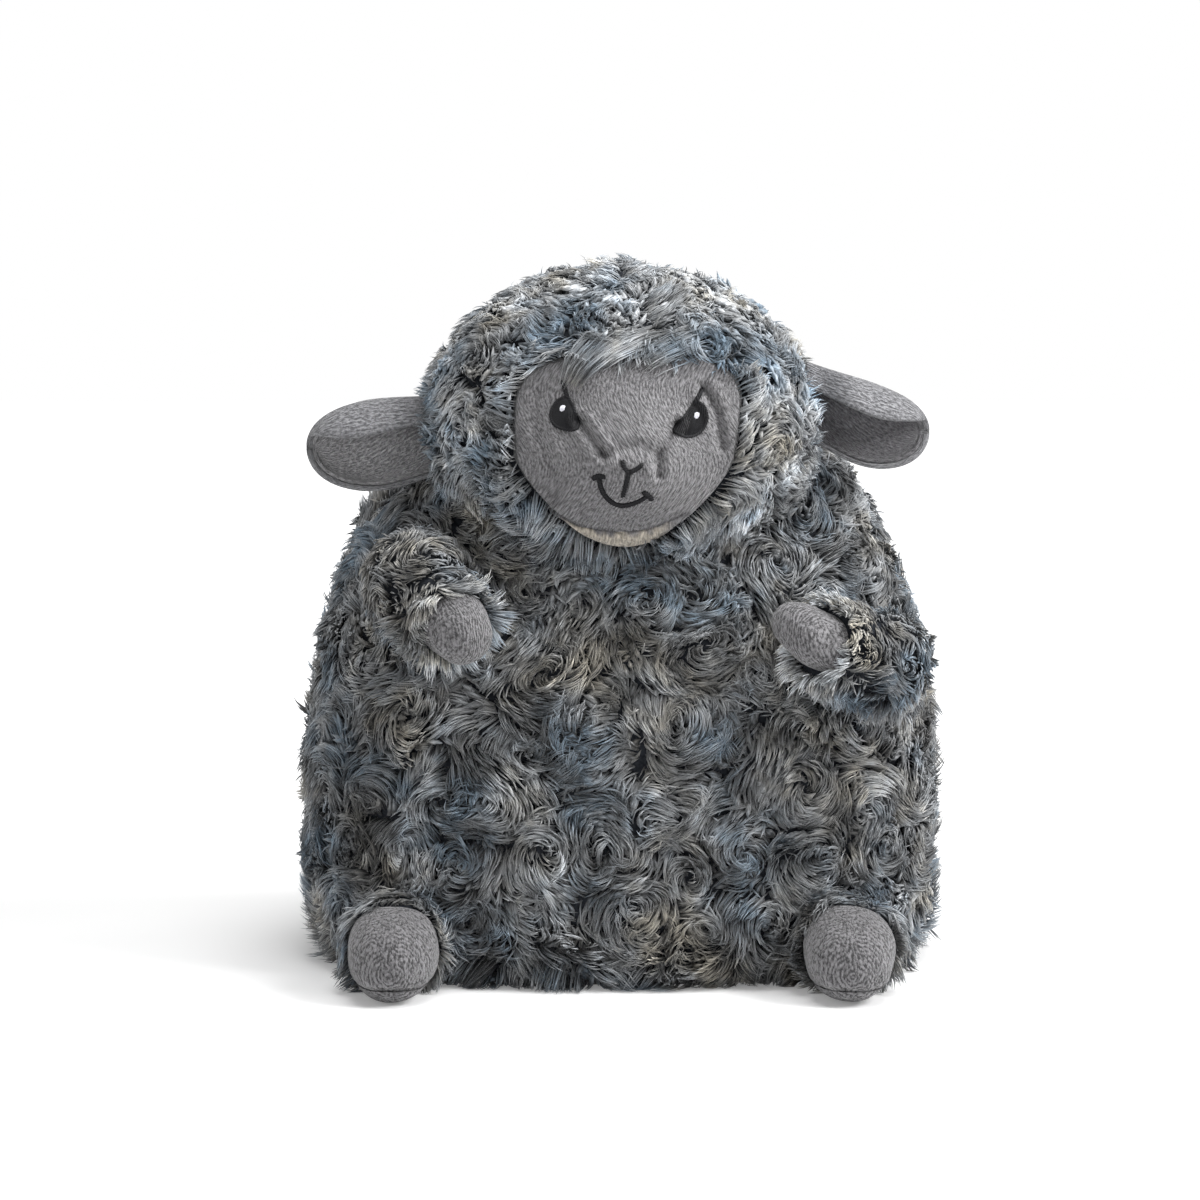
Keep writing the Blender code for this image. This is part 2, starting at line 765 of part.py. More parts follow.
LEFT_ARM = empty("left_arm_swing", LEFT_ARM_PIVOT, SHEEP)
RIGHT_ARM = empty("right_arm_swing", RIGHT_ARM_PIVOT, SHEEP)
LEFT_LEG = empty("left_leg_lift", LEFT_LEG_PIVOT, SHEEP)
RIGHT_LEG = empty("right_leg_lift", RIGHT_LEG_PIVOT, SHEEP)
TAIL = empty("tail_swing", TAIL_PIVOT, SHEEP)
LEFT_SEATS = (
    limb_seat("left_arm_seat", LEFT_ARM, ARM_ROOT_RADIUS),
    limb_seat("left_leg_seat", LEFT_LEG, LEG_ROOT_RADIUS),
)
RIGHT_SEATS = (
    limb_seat("right_arm_seat", RIGHT_ARM, ARM_ROOT_RADIUS),
    limb_seat("right_leg_seat", RIGHT_LEG, LEG_ROOT_RADIUS),
)
TAIL_SEAT = limb_seat("tail_seat", TAIL, TAIL_ROOT_RADIUS)


def cover_panel(name, low, high, seats):
    """One fur panel: the part of the body's cover between two corners, cut by its seats."""
    panel = new_object(name, cover_mesh(name), FUR)
    panel.parent = SHEEP
    cut(panel, BODY_LINING)
    cut(panel, box(name + "_share", low, high, SHEEP), "INTERSECT")
    cut(panel, HEAD_SEAT)
    for seat in seats:
        cut(panel, seat)
    return panel


def base_panel():
    """The flat base under the body."""
    panel = body_solid("base_panel", 0, BODY_SEGMENTS, BODY_RINGS, VELBOA)
    slab = box("base_share", (-REACH, -REACH, 0), (REACH, REACH, BASE_THICKNESS), SHEEP)
    cut(panel, slab, "INTERSECT")
    for seat in LEFT_SEATS[1:] + RIGHT_SEATS[1:]:
        cut(panel, seat)
    return panel


def pellet_shape(grow):
    """The bag's form: a flattened superellipse that stands on the base panel."""
    flat = PELLET_BAG_HEIGHT * pellet_bag_flat_share
    half_height = (PELLET_BAG_HEIGHT + flat) / 2
    middle = BASE_THICKNESS + SEAM_GAP + half_height - flat

    def shape(way):
        power = 2 / pellet_bag_power
        level = math.hypot(way.x, way.y)
        spread = level**power / level if level else 0
        return Vector((
            (PELLET_BAG_HALF_WIDTH + grow) * spread * way.x,
            (PELLET_BAG_HALF_DEPTH + grow) * spread * way.y,
            middle + (half_height + grow) * signed_power(way.z, power),
        ))

    return shape


def pellet_bag():
    """The bag of pellets, flat where it stands on the base panel."""
    bag = new_object(
        "pellet_bag",
        ball_mesh("pellet_bag", INNER_SEGMENTS, INNER_RINGS, pellet_shape(0)),
        PELLET_CLOTH,
    )
    bag.parent = SHEEP
    floor = BASE_THICKNESS + SEAM_GAP
    cut(bag, box("under_pellet_bag", (-REACH, -REACH, -REACH), (REACH, REACH, floor), SHEEP))
    return bag


def body_stuffing():
    """The fibre that fills the body round the pellet bag, hollowed where the head sits."""
    filling = body_solid(
        "body_stuffing", FUR_THICKNESS + SEAM_GAP, INNER_SEGMENTS, INNER_RINGS, FIBRE
    )
    floor = BASE_THICKNESS + SEAM_GAP
    cut(filling, box("under_stuffing", (-REACH, -REACH, -REACH), (REACH, REACH, floor), SHEEP))
    pocket = new_object(
        "pellet_pocket",
        ball_mesh("pellet_pocket", INNER_SEGMENTS, INNER_RINGS, pellet_shape(SEAM_GAP)),
    )
    pocket.parent = SHEEP
    cut(filling, pocket)
    cut(filling, HEAD_SEAT)
    return filling


def build_body():
    half = SEAM_GAP / 2
    floor = BASE_THICKNESS + SEAM_GAP
    cover_panel(
        "front_left_panel", (-REACH, -REACH, floor), (-half, SIDE_SEAM_Y - half, TOP_REACH), LEFT_SEATS
    )
    cover_panel(
        "front_right_panel", (half, -REACH, floor), (REACH, SIDE_SEAM_Y - half, TOP_REACH), RIGHT_SEATS
    )
    cover_panel(
        "back_panel", (-REACH, SIDE_SEAM_Y + half, floor), (REACH, REACH, TOP_REACH), (TAIL_SEAT,)
    )
    base_panel()
    pellet_bag()
    body_stuffing()


# Head pieces

def head_solid(name, proud, segments, rings, material=None, shape=head_point):
    mesh = ball_mesh(name, segments, rings, lambda way: shape(way, proud))
    solid = new_object(name, mesh, material)
    solid.parent = HEAD
    return solid


FACE_DEPTH = HEAD_RADIUS + MUZZLE_FORWARD + CUT_OVERRUN


def ear_pivot(side, rise):
    """The foot of an ear's root seam, just outside the head's ball."""
    share = 1 - (EAR_FORWARD**2 + rise**2) / HEAD_RADIUS**2
    return Vector((side * (HEAD_HALF_WIDTH * math.sqrt(share) + EAR_ROOT_PROUD), -EAR_FORWARD, rise))


LEFT_EAR = empty("left_ear_swing", ear_pivot(-1, LEFT_EAR_RISE), HEAD)
RIGHT_EAR = empty("right_ear_swing", ear_pivot(1, RIGHT_EAR_RISE), HEAD)
EAR_ROOT_HEIGHT = 2 * EAR_HALF_HEIGHT * ear_root_height_share


def ear_groove(name, pivot):
    """The upright groove in the hood that an ear's rolled root turns in."""
    groove = cylinder(
        name, EAR_ROOT_RADIUS + SEAT_GAP, EAR_ROOT_HEIGHT + 2 * SEAT_GAP, SEAT_SEGMENTS
    )
    groove.parent = pivot
    return groove


def hood():
    """The fur of the head: a ball's shell, open for the face and grooved for the ears."""
    shell = head_solid("hood", 0, HEAD_SEGMENTS, HEAD_RINGS, FUR)
    cut(shell, head_solid("head_inside", -FUR_THICKNESS, INNER_SEGMENTS, INNER_RINGS))
    cut(shell, prism("face_opening", face_outline(SEAM_GAP), FACE_DEPTH, HEAD))
    cut(shell, ear_groove("left_ear_groove", LEFT_EAR))
    cut(shell, ear_groove("right_ear_groove", RIGHT_EAR))
    return shell


FACE_INSIDE = head_solid(
    "face_inside", -VELBOA_THICKNESS, HEAD_SEGMENTS, HEAD_RINGS, None, face_point
)
FACE_SHARE = prism("face_share", face_outline(), FACE_DEPTH, HEAD)


def face_piece(name, lowest, highest, material):
    """A velboa piece of the face, between two heights from the middle of the head."""
    skin = head_solid(name, 0, HEAD_SEGMENTS, HEAD_RINGS, material, face_point)
    cut(skin, FACE_INSIDE)
    cut(skin, FACE_SHARE, "INTERSECT")
    side = HEAD_HALF_WIDTH + CUT_OVERRUN
    cut(skin, box(name + "_share", (-side, -side, lowest), (side, side, highest), HEAD), "INTERSECT")
    return skin


def head_stuffing():
    """The fibre in the head, which also fills the muzzle behind the face."""
    filling = head_solid(
        "head_stuffing", -FUR_THICKNESS - SEAM_GAP, INNER_SEGMENTS, INNER_RINGS, FIBRE
    )
    behind_face = head_solid(
        "muzzle_filling", -VELBOA_THICKNESS - SEAM_GAP, HEAD_SEGMENTS, HEAD_RINGS, None, face_point
    )
    cut(behind_face, prism("muzzle_share", face_outline(-SEAM_GAP), FACE_DEPTH, HEAD), "INTERSECT")
    cut(filling, behind_face, "UNION")
    return filling


def embroidery(name, shapes, lift, material):
    """Stitches on the face: outlines cut out of a thin layer that follows its surface."""
    outer = lift + THREAD_THICKNESS
    patch = head_solid(name, outer, HEAD_SEGMENTS, HEAD_RINGS, material, face_point)
    under = head_solid(name + "_under", lift, HEAD_SEGMENTS, HEAD_RINGS, None, face_point)
    drawn = [prism(f"{name}_{i}", shape, FACE_DEPTH, HEAD) for i, shape in enumerate(shapes)]
    for other in drawn[1:]:
        cut(drawn[0], other, "UNION")
    cut(patch, drawn[0], "INTERSECT")
    cut(patch, under)
    return patch


def brow_outline(top, lean, side):
    """The short line of stitches that runs on from the eye's inner edge."""
    top = Vector(top) + Vector(FACE_MIDDLE)
    along = Vector((side * math.sin(lean), math.cos(lean)))
    start = top + along * SEAM_GAP
    return stroke(start, start + along * BROW_LENGTH, THREAD_WIDTH)


def nose_outlines():
    middle = Vector(FACE_MIDDLE) + Vector(NOSE_MIDDLE)
    return [
        stroke(middle, middle + Vector(arm), THREAD_WIDTH)
        for arm in (NOSE_STEM, NOSE_LEFT_ARM, NOSE_RIGHT_ARM)
    ]


def mouth_outlines():
    shapes = [mouth_outline()]
    for turn in (MOUTH_START, MOUTH_END):
        shapes.append(stroke(
            mouth_point(turn, MOUTH_RADIUS - MOUTH_TICK / 2),
            mouth_point(turn, MOUTH_RADIUS + MOUTH_TICK / 2),
            THREAD_WIDTH,
        ))
    return shapes


def build_head():
    hood()
    seam = -FACE_DROP - CHIN_SEAM_DROP
    half = SEAM_GAP / 2
    side = HEAD_RADIUS + CUT_OVERRUN
    face_piece("face_panel", seam + half, side, VELBOA)
    face_piece("chin_panel", -side, seam - half, CHIN_VELBOA)
    head_stuffing()
    eyes = (("left", LEFT_EYE_TOP, LEFT_EYE_LEAN, -1), ("right", RIGHT_EYE_TOP, RIGHT_EYE_LEAN, 1))
    for name, top, lean, side in eyes:
        lift = SEAM_GAP
        embroidery(name + "_eye", [eye_outline(top, lean, side)], lift, BLACK_THREAD)
        embroidery(name + "_brow", [brow_outline(top, lean, side)], lift, BLACK_THREAD)
        lift = 2 * SEAM_GAP + THREAD_THICKNESS
        glint = highlight_outline(top, lean, side)
        embroidery(name + "_eye_highlight", [glint], lift, WHITE_THREAD)
    embroidery("nose", nose_outlines(), SEAM_GAP, BLACK_THREAD)
    embroidery("mouth", mouth_outlines(), SEAM_GAP, BLACK_THREAD)


# Ears

def ear_leaf(share):
    """The ear's half height along its length, as a share: from its root, widest midway."""
    swell = ear_root_height_share + (1 - ear_root_height_share) * math.sin(
        math.pi / 2 * min(share / ear_widest_share, 1)
    )
    return swell * math.sqrt(1 - share**ear_tip_power)


def ear_cup(share):
    """How deep the ear is cupped along its length, as a share: pinched at its root."""
    opened = ear_root_pinch_share + (1 - ear_root_pinch_share) * smooth(share / ear_cup_full_share)
    return opened * math.sqrt(1 - share**ear_tip_power)


def ear_fold(share):
    """The angle up to which the upper edge is folded over, opening out to the tip."""
    opening = smooth((share - ear_fold_end_share) / (1 - ear_fold_end_share))
    return EAR_UPPER_FOLD + (EAR_TIP_OPEN - EAR_UPPER_FOLD) * opening


def ear_point(share, turn, inset, side, droop):
    """A point of the ear's cupped section, a part of an ellipse open to the front."""
    half_height = (EAR_HALF_HEIGHT - inset) * ear_leaf(share)
    depth = (EAR_CUP_DEPTH - inset) * ear_cup(share)
    back = EAR_CUP_DEPTH * ear_root_pinch_share
    return (
        side * EAR_LENGTH * share,
        back - inset * ear_cup(share) - depth * (1 - math.cos(turn)),
        half_height * math.sin(turn) - droop * share * share,
    )


def ear_arc(share, inset, side, droop, trim):
    """One section's arc, without its outermost points where the layer is trimmed."""
    low = -EAR_LOWER_CURL
    high = ear_fold(share)
    last = EAR_ARC_POINTS - 1
    turns = [low + (high - low) * i / last for i in range(trim, EAR_ARC_POINTS - trim)]
    return [ear_point(share, turn, inset, side, droop) for turn in turns]


def ear_layer(name, side, droop, insets, trim, material, pivot):
    """One cloth layer of the ear: the outer arc of each section and back along the inner.

    Both layers have the same sections. The lining is trimmed by whole steps all round, so that
    it follows the back's own faces and never crosses them.
    """
    last = EAR_RINGS - 1
    rings = []
    for i in range(trim, EAR_RINGS - trim):
        bend = math.sin(math.pi / 2 * (i / last) ** ear_ring_power)
        share = bend * (1 - SEAM_GAP / EAR_LENGTH)
        outer = ear_arc(share, insets[0], side, droop, trim)
        inner = ear_arc(share, insets[1], side, droop, trim)
        rings.append(outer + inner[::-1])
    layer = loft(name, rings, material)
    layer.parent = pivot
    return layer


def build_ear(name, side, droop, pivot):
    """The ear's back with its rolled root, and the lining inside it."""
    insets = (0, VELBOA_THICKNESS)
    back = ear_layer(name + "_ear_back", side, droop, insets, 0, EAR_VELBOA, pivot)
    root = cylinder(name + "_ear_root", EAR_ROOT_RADIUS, EAR_ROOT_HEIGHT, LIMB_STEPS)
    root.parent = pivot
    cut(back, root, "UNION")
    start = VELBOA_THICKNESS + SEAM_GAP
    insets = (start, start + LINING_THICKNESS)
    ear_layer(name + "_ear_lining", side, droop, insets, EAR_LINING_TRIM, LINING, pivot)


# Limbs

def limb_sleeve(name, root_radius, cuff_radius, length, pivot, direction):
    """A fur sleeve: a cup with a round bottom, open at its cuff."""
    wall = SLEEVE_THICKNESS
    inside = sleeve_profile(root_radius - wall, cuff_radius - wall, length)
    outside = sleeve_profile(root_radius, cuff_radius, length)
    return turned(name, inside + outside[::-1], pivot, direction, FUR)


def limb_end(name, start, length, radius, pivot, direction):
    """A velboa paw or foot: a cup open towards its sleeve."""
    wall = VELBOA_THICKNESS
    inside = tip_profile(start, length - wall, radius - wall)
    outside = tip_profile(start, length, radius)
    return turned(name, outside[::-1] + inside, pivot, direction, VELBOA)


def limb_stuffing(name, root_radius, cuff_radius, sleeve, start, length, radius, pivot, direction):
    """The fibre that fills a sleeve and its paw or foot, with a shoulder clear of both rims."""
    inset = SLEEVE_THICKNESS + SEAM_GAP
    cuff = cuff_radius - inset
    lower = sleeve_profile(root_radius - inset, cuff, sleeve)
    inset = VELBOA_THICKNESS + SEAM_GAP
    shoulder = math.copysign(SEAM_GAP, radius - inset - cuff)
    upper = tip_profile(start + shoulder, length - inset - shoulder, radius - inset)
    return turned(name, (lower + upper)[::-1], pivot, direction, FIBRE)


def build_arm(name, pivot, reach):
    start = ARM_SLEEVE_LENGTH + SEAM_GAP
    limb_sleeve(
        name + "_arm_sleeve", ARM_ROOT_RADIUS, ARM_CUFF_RADIUS, ARM_SLEEVE_LENGTH, pivot, reach
    )
    limb_end(name + "_paw", start, PAW_LENGTH, PAW_RADIUS, pivot, reach)
    limb_stuffing(
        name + "_arm_stuffing", ARM_ROOT_RADIUS, ARM_CUFF_RADIUS, ARM_SLEEVE_LENGTH,
        start, PAW_LENGTH, PAW_RADIUS, pivot, reach,
    )


def build_leg(name, pivot, reach):
    """A leg: its foot is flat on the floor, and a seam parts the sole from the upper."""
    start = LEG_SLEEVE_LENGTH + SEAM_GAP
    limb_sleeve(
        name + "_leg_sleeve", LEG_ROOT_RADIUS, LEG_CUFF_RADIUS, LEG_SLEEVE_LENGTH, pivot, reach
    )
    half = SEAM_GAP / 2
    foot = limb_end(name + "_foot", start, FOOT_LENGTH, FOOT_RADIUS, pivot, reach)
    under = box(
        name + "_under_seam", (-REACH, -REACH, -REACH), (REACH, REACH, SOLE_SEAM_HEIGHT + half), SHEEP
    )
    cut(foot, under)
    sole = limb_end(name + "_sole", start, FOOT_LENGTH, FOOT_RADIUS, pivot, reach)
    low = box(name + "_sole_share", (-REACH, -REACH, 0), (REACH, REACH, SOLE_SEAM_HEIGHT - half), SHEEP)
    cut(sole, low, "INTERSECT")
    limb_stuffing(
        name + "_leg_stuffing", LEG_ROOT_RADIUS, LEG_CUFF_RADIUS, LEG_SLEEVE_LENGTH,
        start, FOOT_LENGTH, FOOT_RADIUS, pivot, reach,
    )


def build_tail():
    """The tail: a solid fur stub."""
    turned("tail", tail_profile()[::-1], TAIL, TAIL_REACH, FUR)


build_body()
build_head()
build_ear("left", -1, LEFT_EAR_DROOP, LEFT_EAR)
build_ear("right", 1, RIGHT_EAR_DROOP, RIGHT_EAR)
build_arm("left", LEFT_ARM, LEFT_ARM_REACH)
build_arm("right", RIGHT_ARM, RIGHT_ARM_REACH)
build_leg("left", LEFT_LEG, LEG_REACH)
build_leg("right", RIGHT_LEG, LEG_REACH)
build_tail()
bpy.context.view_layer.update()
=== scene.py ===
"""The looks of the plush sheep: rosette fur, short pile, stitches, light and camera.

Metres, +Z up, the sheep looks towards -Y. Every surface is a function of two parameters, worked
out with numpy. Left is the side at -X. The faces of the pile's strands are few, because there
are tens of thousands of them.
"""

import json
import math

import bpy
import numpy as np
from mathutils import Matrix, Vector


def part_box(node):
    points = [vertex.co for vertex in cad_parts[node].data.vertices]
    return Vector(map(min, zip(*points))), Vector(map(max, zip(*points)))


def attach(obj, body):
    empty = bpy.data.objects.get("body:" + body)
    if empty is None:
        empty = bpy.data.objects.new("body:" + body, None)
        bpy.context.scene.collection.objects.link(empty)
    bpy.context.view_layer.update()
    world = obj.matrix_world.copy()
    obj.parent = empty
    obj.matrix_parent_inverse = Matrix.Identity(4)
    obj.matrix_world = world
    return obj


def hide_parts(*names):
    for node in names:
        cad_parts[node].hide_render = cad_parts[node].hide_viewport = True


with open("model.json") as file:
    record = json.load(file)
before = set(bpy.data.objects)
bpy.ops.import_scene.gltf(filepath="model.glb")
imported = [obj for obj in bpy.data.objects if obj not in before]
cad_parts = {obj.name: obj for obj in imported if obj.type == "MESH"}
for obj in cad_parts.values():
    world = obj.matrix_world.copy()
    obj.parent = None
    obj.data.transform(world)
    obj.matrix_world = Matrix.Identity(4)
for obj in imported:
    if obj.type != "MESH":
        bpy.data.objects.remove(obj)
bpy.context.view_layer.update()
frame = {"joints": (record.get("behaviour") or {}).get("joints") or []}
MM = 0.001
PIVOT = {joint["name"]: np.array(joint["pos_m"], float) for joint in frame["joints"]}

# Driving sizes of the body, the head and the face, as the solids have them; the face's upper
# outline is squarer here, as the photograph shows it
BODY_HALF_WIDTH = 123 * MM
BODY_HALF_DEPTH = 90 * MM
BODY_WIDEST = 70 * MM
BODY_TOP = 249 * MM
BODY_SET_BACK = 20 * MM
BODY_BELOW = 3 * MM
BODY_PLAN_POWER = 2.6
BODY_LOWER_POWER = 6.0
BODY_LEAN_POWER = 1.5
BODY_LOWER_SHARE = 0.35
HEAD_HALF_WIDTH = 76 * MM
HEAD_RADIUS = 60 * MM
HEAD_FORWARD = 35 * MM
HEAD_MIDDLE = PIVOT["head_nod"]
SHEEP_Y = HEAD_MIDDLE[1] + HEAD_FORWARD
FACE_ASIDE = 1.5 * MM
FACE_DROP = 11 * MM
FACE_HALF_WIDTH = 41.5 * MM
FACE_HALF_HEIGHT = 34 * MM
FACE_TAPER = 0.30
FACE_UPPER_HEIGHT = 38 * MM
FACE_UPPER_TAPER = 0.08
FACE_UPPER_ASIDE = 2 * MM
FACE_UPPER_POWER = 4.3
MUZZLE_HALF_WIDTH = 37 * MM
MUZZLE_HALF_HEIGHT = 31 * MM
MUZZLE_DROP = 13 * MM
MUZZLE_FORWARD = 12 * MM

# The seam between face and chin, in millimetres from the middle of the head
CHIN_SEAM = ((-25.5, -31.5), (-17, -36.3), (-8, -38.2), (0.3, -38.8), (9, -38.0), (16, -35.6),
             (24.5, -31.6))

# Ears, limbs and tail; a reach is the direction from a limb's joint to its tip
EAR_LENGTH = {"left": 46 * MM, "right": 44 * MM}
EAR_HALF_HEIGHT = {"left": 18.5 * MM, "right": 17.4 * MM}
EAR_LIP = 5.0 * MM
EAR_CUP = 8 * MM
EAR_LOWER_CURL = math.radians(102)
EAR_TIP_OPEN = math.radians(118)
EAR_ROOT_SHARE = 0.86
EAR_PINCH_SHARE = 0.44
EAR_DROOP = {"left": 4 * MM, "right": 11 * MM}
ARM_ROOT = 19 * MM
ARM_CUFF = 16.5 * MM
ARM_SLEEVE = 36 * MM
PAW_RADIUS = 12.8 * MM
PAW_LENGTH = 20 * MM
ARM_REACH = {"left": (24, -46.5, -21.5), "right": (-37, -39, 16)}
LEG_ROOT = 19 * MM
LEG_CUFF = 18.5 * MM
LEG_SLEEVE = 8 * MM
FOOT_RADIUS = 18.2 * MM
FOOT_LENGTH = 28 * MM
LEG_REACH = (0, -18, -3.6)
SOLE_SEAM = 6.5 * MM
FOOT_CORNERS = 2.2
FOOT_PLUMPNESS = 0.95
# How the paws' section differs from round: its long and short share, its slant and a bend
PAW_FORM = {
    "left": (1.0, 1.0, 0.0, 0.0),
    "right": (1.12, 0.82, math.radians(35), 5.5 * MM),
}
TAIL_ROOT = 12 * MM
TAIL_LENGTH = 27 * MM
TAIL_REACH = (0, 7, -12)
SEAM_GAP = 0.3 * MM
FUR_THICKNESS = 8 * MM
SLEEVE_THICKNESS = 5 * MM
BASE_THICKNESS = 6 * MM

# Fur
STRANDS_PER_CM2 = 52
UNDERFUR_PER_CM2 = 13
STRAND_SEGMENTS = 3
STRAY_SHARE = 0.07
STRANDS_PER_PIECE = 12000
ROOT_INSET = 1.8 * MM
BAND_WIDTH = 3.1 * MM
RIDGE_HEIGHT = 1.5 * MM
WHORL_WIDTH = 28 * MM
WHORL_HEIGHT = 26 * MM
WHORL_STEPS = 3
WHORL_DRIFT = 5.5 * MM
WHORL_SPACING = 17 * MM
HOOD_WHORL_SPACING = 19.5 * MM
CUFF_WHORL_SPACING = 11 * MM
BODY_PILE = 13.5 * MM
HOOD_PILE = 12.5 * MM
UNDERCOAT_PILE = 9.5 * MM
ARM_PILE = 10 * MM
LEG_PILE = 12 * MM
TAIL_PILE = 12 * MM
BACK_DENSITY = 0.56
# How whorls and their locks differ: shares, angles in radians, and ranges drawn from evenly
CLOCKWISE_SHARE = 0.72
WHORL_SIZES = (0.85, 1.25)
WHORL_STRENGTHS = (0.15, 1.4)
WHORL_SHADES = (0, 0.20)
WHORL_REACH = 14.5 * MM
LOCK_TURN = 0.20
LOCK_LEAN = 0.13
LOCK_LENGTHS = (0.78, 1.15)
LOCK_DRAW = 0.38
STRAND_LENGTHS = (0.75, 1.1)
FLOW_SIZE = 34 * MM
FLOW_SHARE = 0.85
FLOW_DROP = 0.18
STRAND_CLEARANCE = 0.6 * MM
# The relief of the pile's backing
LUMP_HEIGHT = 1.4 * MM
VALLEY_DEPTH = 2.2 * MM
VALLEY_WIDTH = 5 * MM
DIP_WIDTH = 2.6 * MM
BLOCK = 4000


# Arrays

def unit(vectors):
    """Each vector divided by its own length."""
    length = np.linalg.norm(vectors, axis=-1, keepdims=True)
    return vectors / np.maximum(length, 1e-12)


def dot(a, b):
    """The scalar product of vectors, kept as a last axis of one."""
    return (a * b).sum(-1, keepdims=True)


def smooth(share):
    """A rise from 0 to 1 that starts and ends level."""
    share = np.clip(share, 0, 1)
    return share * share * (3 - 2 * share)


def signed_power(value, power):
    """A power of the size of a value, with the value's own sign."""
    return np.sign(value) * np.abs(value) ** power


def wave_noise(points, size, seed):
    """Smooth noise from -1 to 1: nine sine waves of random directions, each about a size long."""
    rng = np.random.default_rng(seed)
    total = 0
    for _ in range(9):
        way = unit(rng.normal(size=3)) * math.tau / (size * rng.uniform(0.7, 1.5))
        total = total + np.sin(points @ way + rng.uniform(0, math.tau))
    return total / 4.2


# Surfaces of the toy, as functions of (u, v) from 0 to 1

def body_surface(u, v, inset=0.0):
    """The body: an upper half ellipse and a squarer lower half, and superellipses in plan.

    u runs from the floor to the top and v once round from the back, anticlockwise from above.
    """
    lower = BODY_WIDEST + BODY_BELOW - inset
    upper = BODY_TOP - BODY_WIDEST - inset
    down = np.clip(1 - u / BODY_LOWER_SHARE, 0, 1) * BODY_WIDEST / (BODY_WIDEST + BODY_BELOW)
    climb = np.clip((u - BODY_LOWER_SHARE) / (1 - BODY_LOWER_SHARE), 0, 1) * math.pi / 2
    below = u < BODY_LOWER_SHARE
    height = np.where(below, BODY_WIDEST - lower * down, BODY_WIDEST + upper * np.sin(climb))
    width = np.where(below, (1 - down**BODY_LOWER_POWER) ** (1 / BODY_LOWER_POWER), np.cos(climb))
    bearing = (v * 2 - 1) * math.pi
    rise = np.clip((height - BODY_WIDEST) / (BODY_TOP - BODY_WIDEST), 0, 1)
    lean = BODY_SET_BACK * rise**BODY_LEAN_POWER
    x = (BODY_HALF_WIDTH - inset) * width * signed_power(np.sin(bearing), 2 / BODY_PLAN_POWER)
    y = -(BODY_HALF_DEPTH - inset) * width * signed_power(np.cos(bearing), 2 / BODY_PLAN_POWER)
    return np.stack([x, y + lean + SHEEP_Y, height], -1)


def head_surface(u, v, inset=0.0):
    """The head's ball, an ellipsoid about the sideways axis: u from left to right, v round it."""
    polar = u * math.pi
    turn = v * math.tau
    x = -(HEAD_HALF_WIDTH - inset) * np.cos(polar)
    y = -(HEAD_RADIUS - inset) * np.sin(polar) * np.cos(turn)
    z = (HEAD_RADIUS - inset) * np.sin(polar) * np.sin(turn)
    return np.stack([x, y, z], -1) + HEAD_MIDDLE


def in_head(points, margin):
    """Whether points lie inside the head's ball, made larger all round by a margin."""
    away = (points - HEAD_MIDDLE) / np.array([HEAD_HALF_WIDTH + margin] + [HEAD_RADIUS + margin] * 2)
    return (away**2).sum(-1) < 1


def body_depth(points):
    """How far points lie inside the body, roughly: the plan's gap to each level's outline."""
    height = points[..., 2]
    share = np.clip((height - BODY_WIDEST) / (BODY_TOP - BODY_WIDEST), 0, 1)
    down = np.clip((BODY_WIDEST - height) / (BODY_WIDEST + BODY_BELOW), 0, 1)
    width = np.sqrt(1 - share**2) * (1 - down**BODY_LOWER_POWER) ** (1 / BODY_LOWER_POWER)
    lean = BODY_SET_BACK * share**BODY_LEAN_POWER + SHEEP_Y
    across = np.abs(points[..., 0] / BODY_HALF_WIDTH) ** BODY_PLAN_POWER
    deep = np.abs((points[..., 1] - lean) / BODY_HALF_DEPTH) ** BODY_PLAN_POWER
    return (width - (across + deep) ** (1 / BODY_PLAN_POWER)) * BODY_HALF_DEPTH


def normals_of(surface, u, v, step=2e-4):
    """Unit normals from short steps along u and v, turned away from the surface's middle."""
    a = surface(np.clip(u + step, 0, 1), v) - surface(np.clip(u - step, 0, 1), v)
    b = surface(u, v + step) - surface(u, v - step)
    return unit(np.cross(a, b))


def outwards(normals, away):
    """The normals, all turned round if they point against the ways from the middle."""
    return -normals if dot(normals, away).mean() < 0 else normals


def ring_places(low, high, rows, columns):
    """The (u, v) of a grid of rings, from a low to a high u, with each ring once round."""
    return np.meshgrid(np.linspace(low, high, rows), np.arange(columns) / columns, indexing="ij")


def scatter(surface, per_cm2, seed, rows=120, columns=240):
    """Random points spread evenly by area: a cell is picked by its area, then a place in it."""
    rng = np.random.default_rng(seed)
    u, v = np.meshgrid(np.linspace(0, 1, rows + 1), np.linspace(0, 1, columns + 1), indexing="ij")
    corner = surface(u, v)
    along = corner[1:, :-1] - corner[:-1, :-1]
    beside = corner[:-1, 1:] - corner[:-1, :-1]
    area = np.linalg.norm(np.cross(along, beside), axis=-1).ravel()
    count = int(area.sum() * 1e4 * per_cm2)
    cell = rng.choice(len(area), count, p=area / area.sum())
    u = (cell // columns + rng.random(count)) / rows
    v = (cell % columns + rng.random(count)) / columns
    points = surface(u, v)
    middle = corner.reshape(-1, 3).mean(0)
    return points, outwards(normals_of(surface, u, v), points - middle)


def spaced(points, spacing):
    """Every point that is at least a spacing away from the ones already kept, in order."""
    kept = points[:1]
    for point in points[1:]:
        if ((kept - point) ** 2).sum(1).min() > spacing**2:
            kept = np.vstack([kept, point])
    return kept


def nearest(points, centres):
    """The index of each point's nearest centre, worked out in blocks."""
    found = np.empty(len(points), int)
    for start in range(0, len(points), BLOCK):
        block = points[start:start + BLOCK]
        gap = ((block[:, None] - centres[None]) ** 2).sum(2)
        found[start:start + BLOCK] = gap.argmin(1)
    return found


